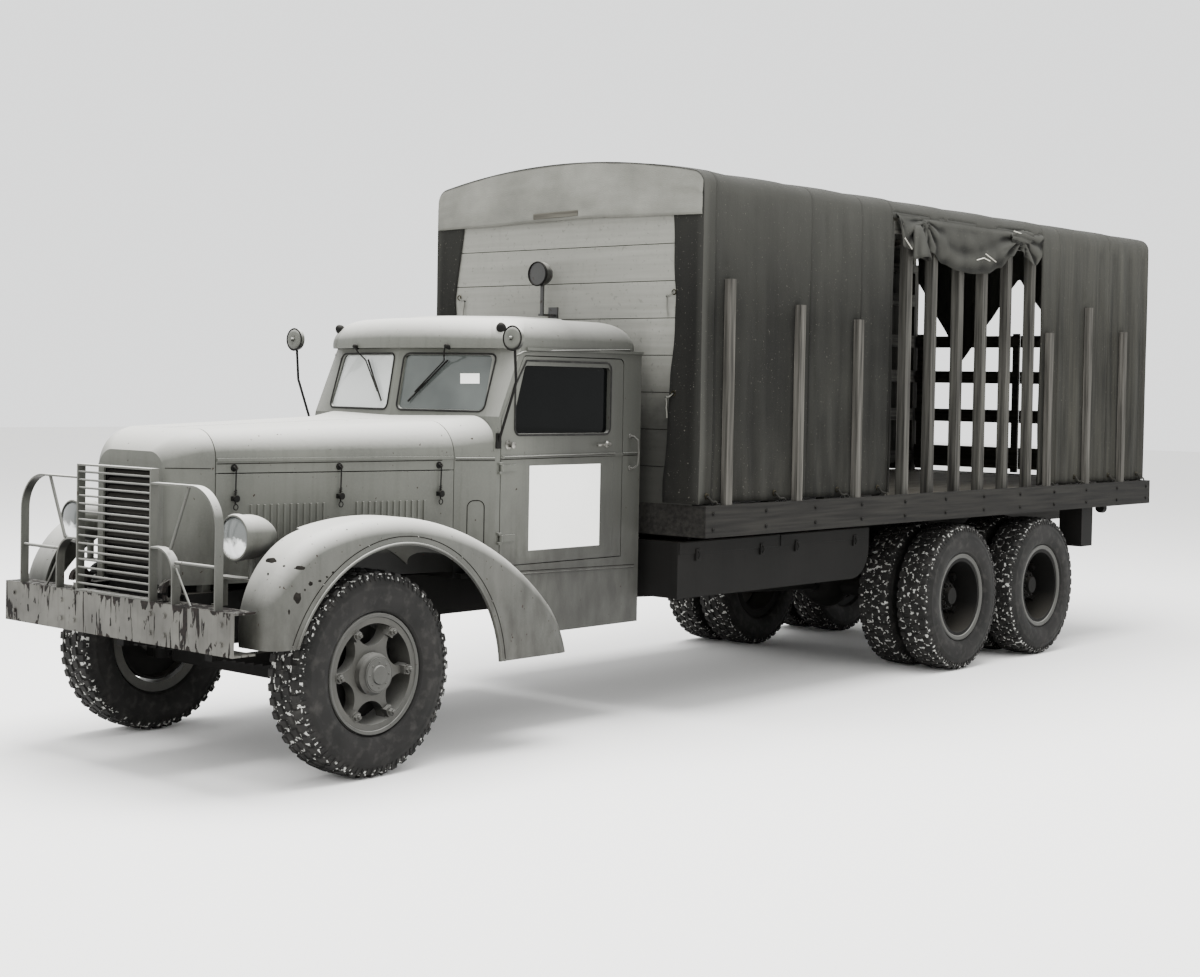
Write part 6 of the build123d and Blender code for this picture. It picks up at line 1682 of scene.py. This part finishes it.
boxes = bmesh.new()
for side, _ in SIDES:
    for y0, y1 in ((-1.45, -0.34), (-0.33, 0.80)):
        outer = side * 1.0
        add_block(boxes, (outer - side * 0.002, y0 + 0.012, 1.030), (outer + side * 0.006, y1 - 0.012, 1.106))
        for y in (y0 + 0.2, y1 - 0.2):
            add_block(boxes, (outer, y - 0.022, 0.985), (outer + side * 0.014, y + 0.022, 1.060))
            hasp = [(outer + side * far, y, z) for far, z in ((0.014, 1.045), (0.026, 1.020), (0.014, 0.995))]
            add_rod(boxes, hasp, 0.004, 6)
add_piece("box_lids_and_catches", boxes, chassis_enamel, slot="dark_metal", edge=0.002)

tails = bmesh.new()
for side in (1, -1):
    lamp = [(-0.02, 0), (-0.02, 0.040), (0.030, 0.046), (0.034, 0.046), (0.046, 0.030), (0.050, 0)]
    add_turned(tails, lamp, (side * 0.80, 4.965, 1.085), (0, 1, 0), 28, closed=False)
    add_rod(tails, [(side * 0.80, 4.95, 1.09), (side * 0.80, 4.93, 1.15)], 0.010, 8)
add_piece("tail_lamps", tails, chassis_enamel, slot="dark_metal")

# %% [markdown]
# The bench seat is padded leathercloth. Its two cushions swell between their edges and the channels that
# are sewn across them, so they are modelled as pads and not as blocks.

# %% Padded bench seat
def seat_pad(low, high, crown):
    """A closed pad from a box: subdivided, swollen in its middles and pinched at its seams."""
    shape = bmesh.new()
    add_block(shape, low, high)
    bmesh.ops.subdivide_edges(shape, edges=shape.edges[:], cuts=9, use_grid_fill=True)
    middle, half = (Vector(low) + Vector(high)) / 2, (Vector(high) - Vector(low)) / 2
    for v in shape.verts:
        rel = Vector([(v.co[i] - middle[i]) / half[i] for i in range(3)])
        pinch = sorted((abs(rel.x), abs(rel.y), abs(rel.z)))
        swell = (1 - pinch[0] ** 2) * (1 - pinch[1] ** 2)
        channel = 0.30 * max(0.0, 1 - abs(math.sin(rel.x * math.pi * 3)) * 3)
        k = [abs(rel.x), abs(rel.y), abs(rel.z)].index(pinch[2])
        v.co[k] += (1 if rel[k] > 0 else -1) * (crown * (swell - channel * (swell > 0.1)) - 0.012)
    return shape


pads = (("seat_cushion", (-0.612, -2.225, 1.068), (0.612, -1.805, 1.208)),
        ("seat_back", (-0.612, -1.800, 1.215), (0.612, -1.672, 1.772)))
for name, low, high in pads:
    pad = add_piece(name, seat_pad(low, high, 0.020), leathercloth, slot="seat_cloth", angle=80)
    softening = pad.modifiers.new("softening", "SUBSURF")
    softening.levels = softening.render_levels = 1
    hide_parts("seat")
base = bmesh.new()
add_block(base, (-0.60, -2.17, 1.003), (0.60, -1.68, 1.074))
add_piece("seat_riser", base, chassis_enamel, slot="dark_metal", edge=0.004)
print("seat pads:", [name for name, _, _ in pads])

# %% [markdown]
# A pale matt floor and three large soft lights, with a pale sky behind them, give the flat daylight of an
# overcast yard: bright on faces that look up, and dark under the bed.

# %% Floor and lights
FLOOR_HALF = 60
floor_material = finish(start_material("pale_matt_floor"), "efeeec", 0.9)
floor_mesh = bpy.data.meshes.new("Floor")
floor_corners = [(x * FLOOR_HALF, y * FLOOR_HALF, 0) for x, y in ((-1, -1), (1, -1), (1, 1), (-1, 1))]
floor_mesh.from_pydata(floor_corners, [], [(0, 1, 2, 3)])
floor_mesh.materials.append(floor_material)
floor = show(bpy.data.objects.new("Floor", floor_mesh))

LIGHTS = (
    # name, place, aims at, size, watts
    ("sky_panel", (0, -1, 14), (0, 0, 1), 12, 7000),
    ("front_panel", (5, -17, 8), (0, -4, 1.2), 6, 700),
    ("side_panel", (15, 1, 7), (0, 1, 1.5), 7, 250),
)
for name, place, target, size, watts in LIGHTS:
    light = bpy.data.lights.new(name, "AREA")
    light.size, light.energy = size, watts
    lamp = show(bpy.data.objects.new(name, light))
    aim = (Vector(target) - Vector(place)).to_track_quat("-Z", "Y")
    lamp.matrix_world = Matrix.Translation(place) @ aim.to_matrix().to_4x4()

world = bpy.data.worlds.new("overcast_sky")
world.use_nodes = True
connect(world.node_tree, world.node_tree.nodes["Background"], {"Color": "f3f4f4", "Strength": 2.0})
bpy.context.scene.world = world
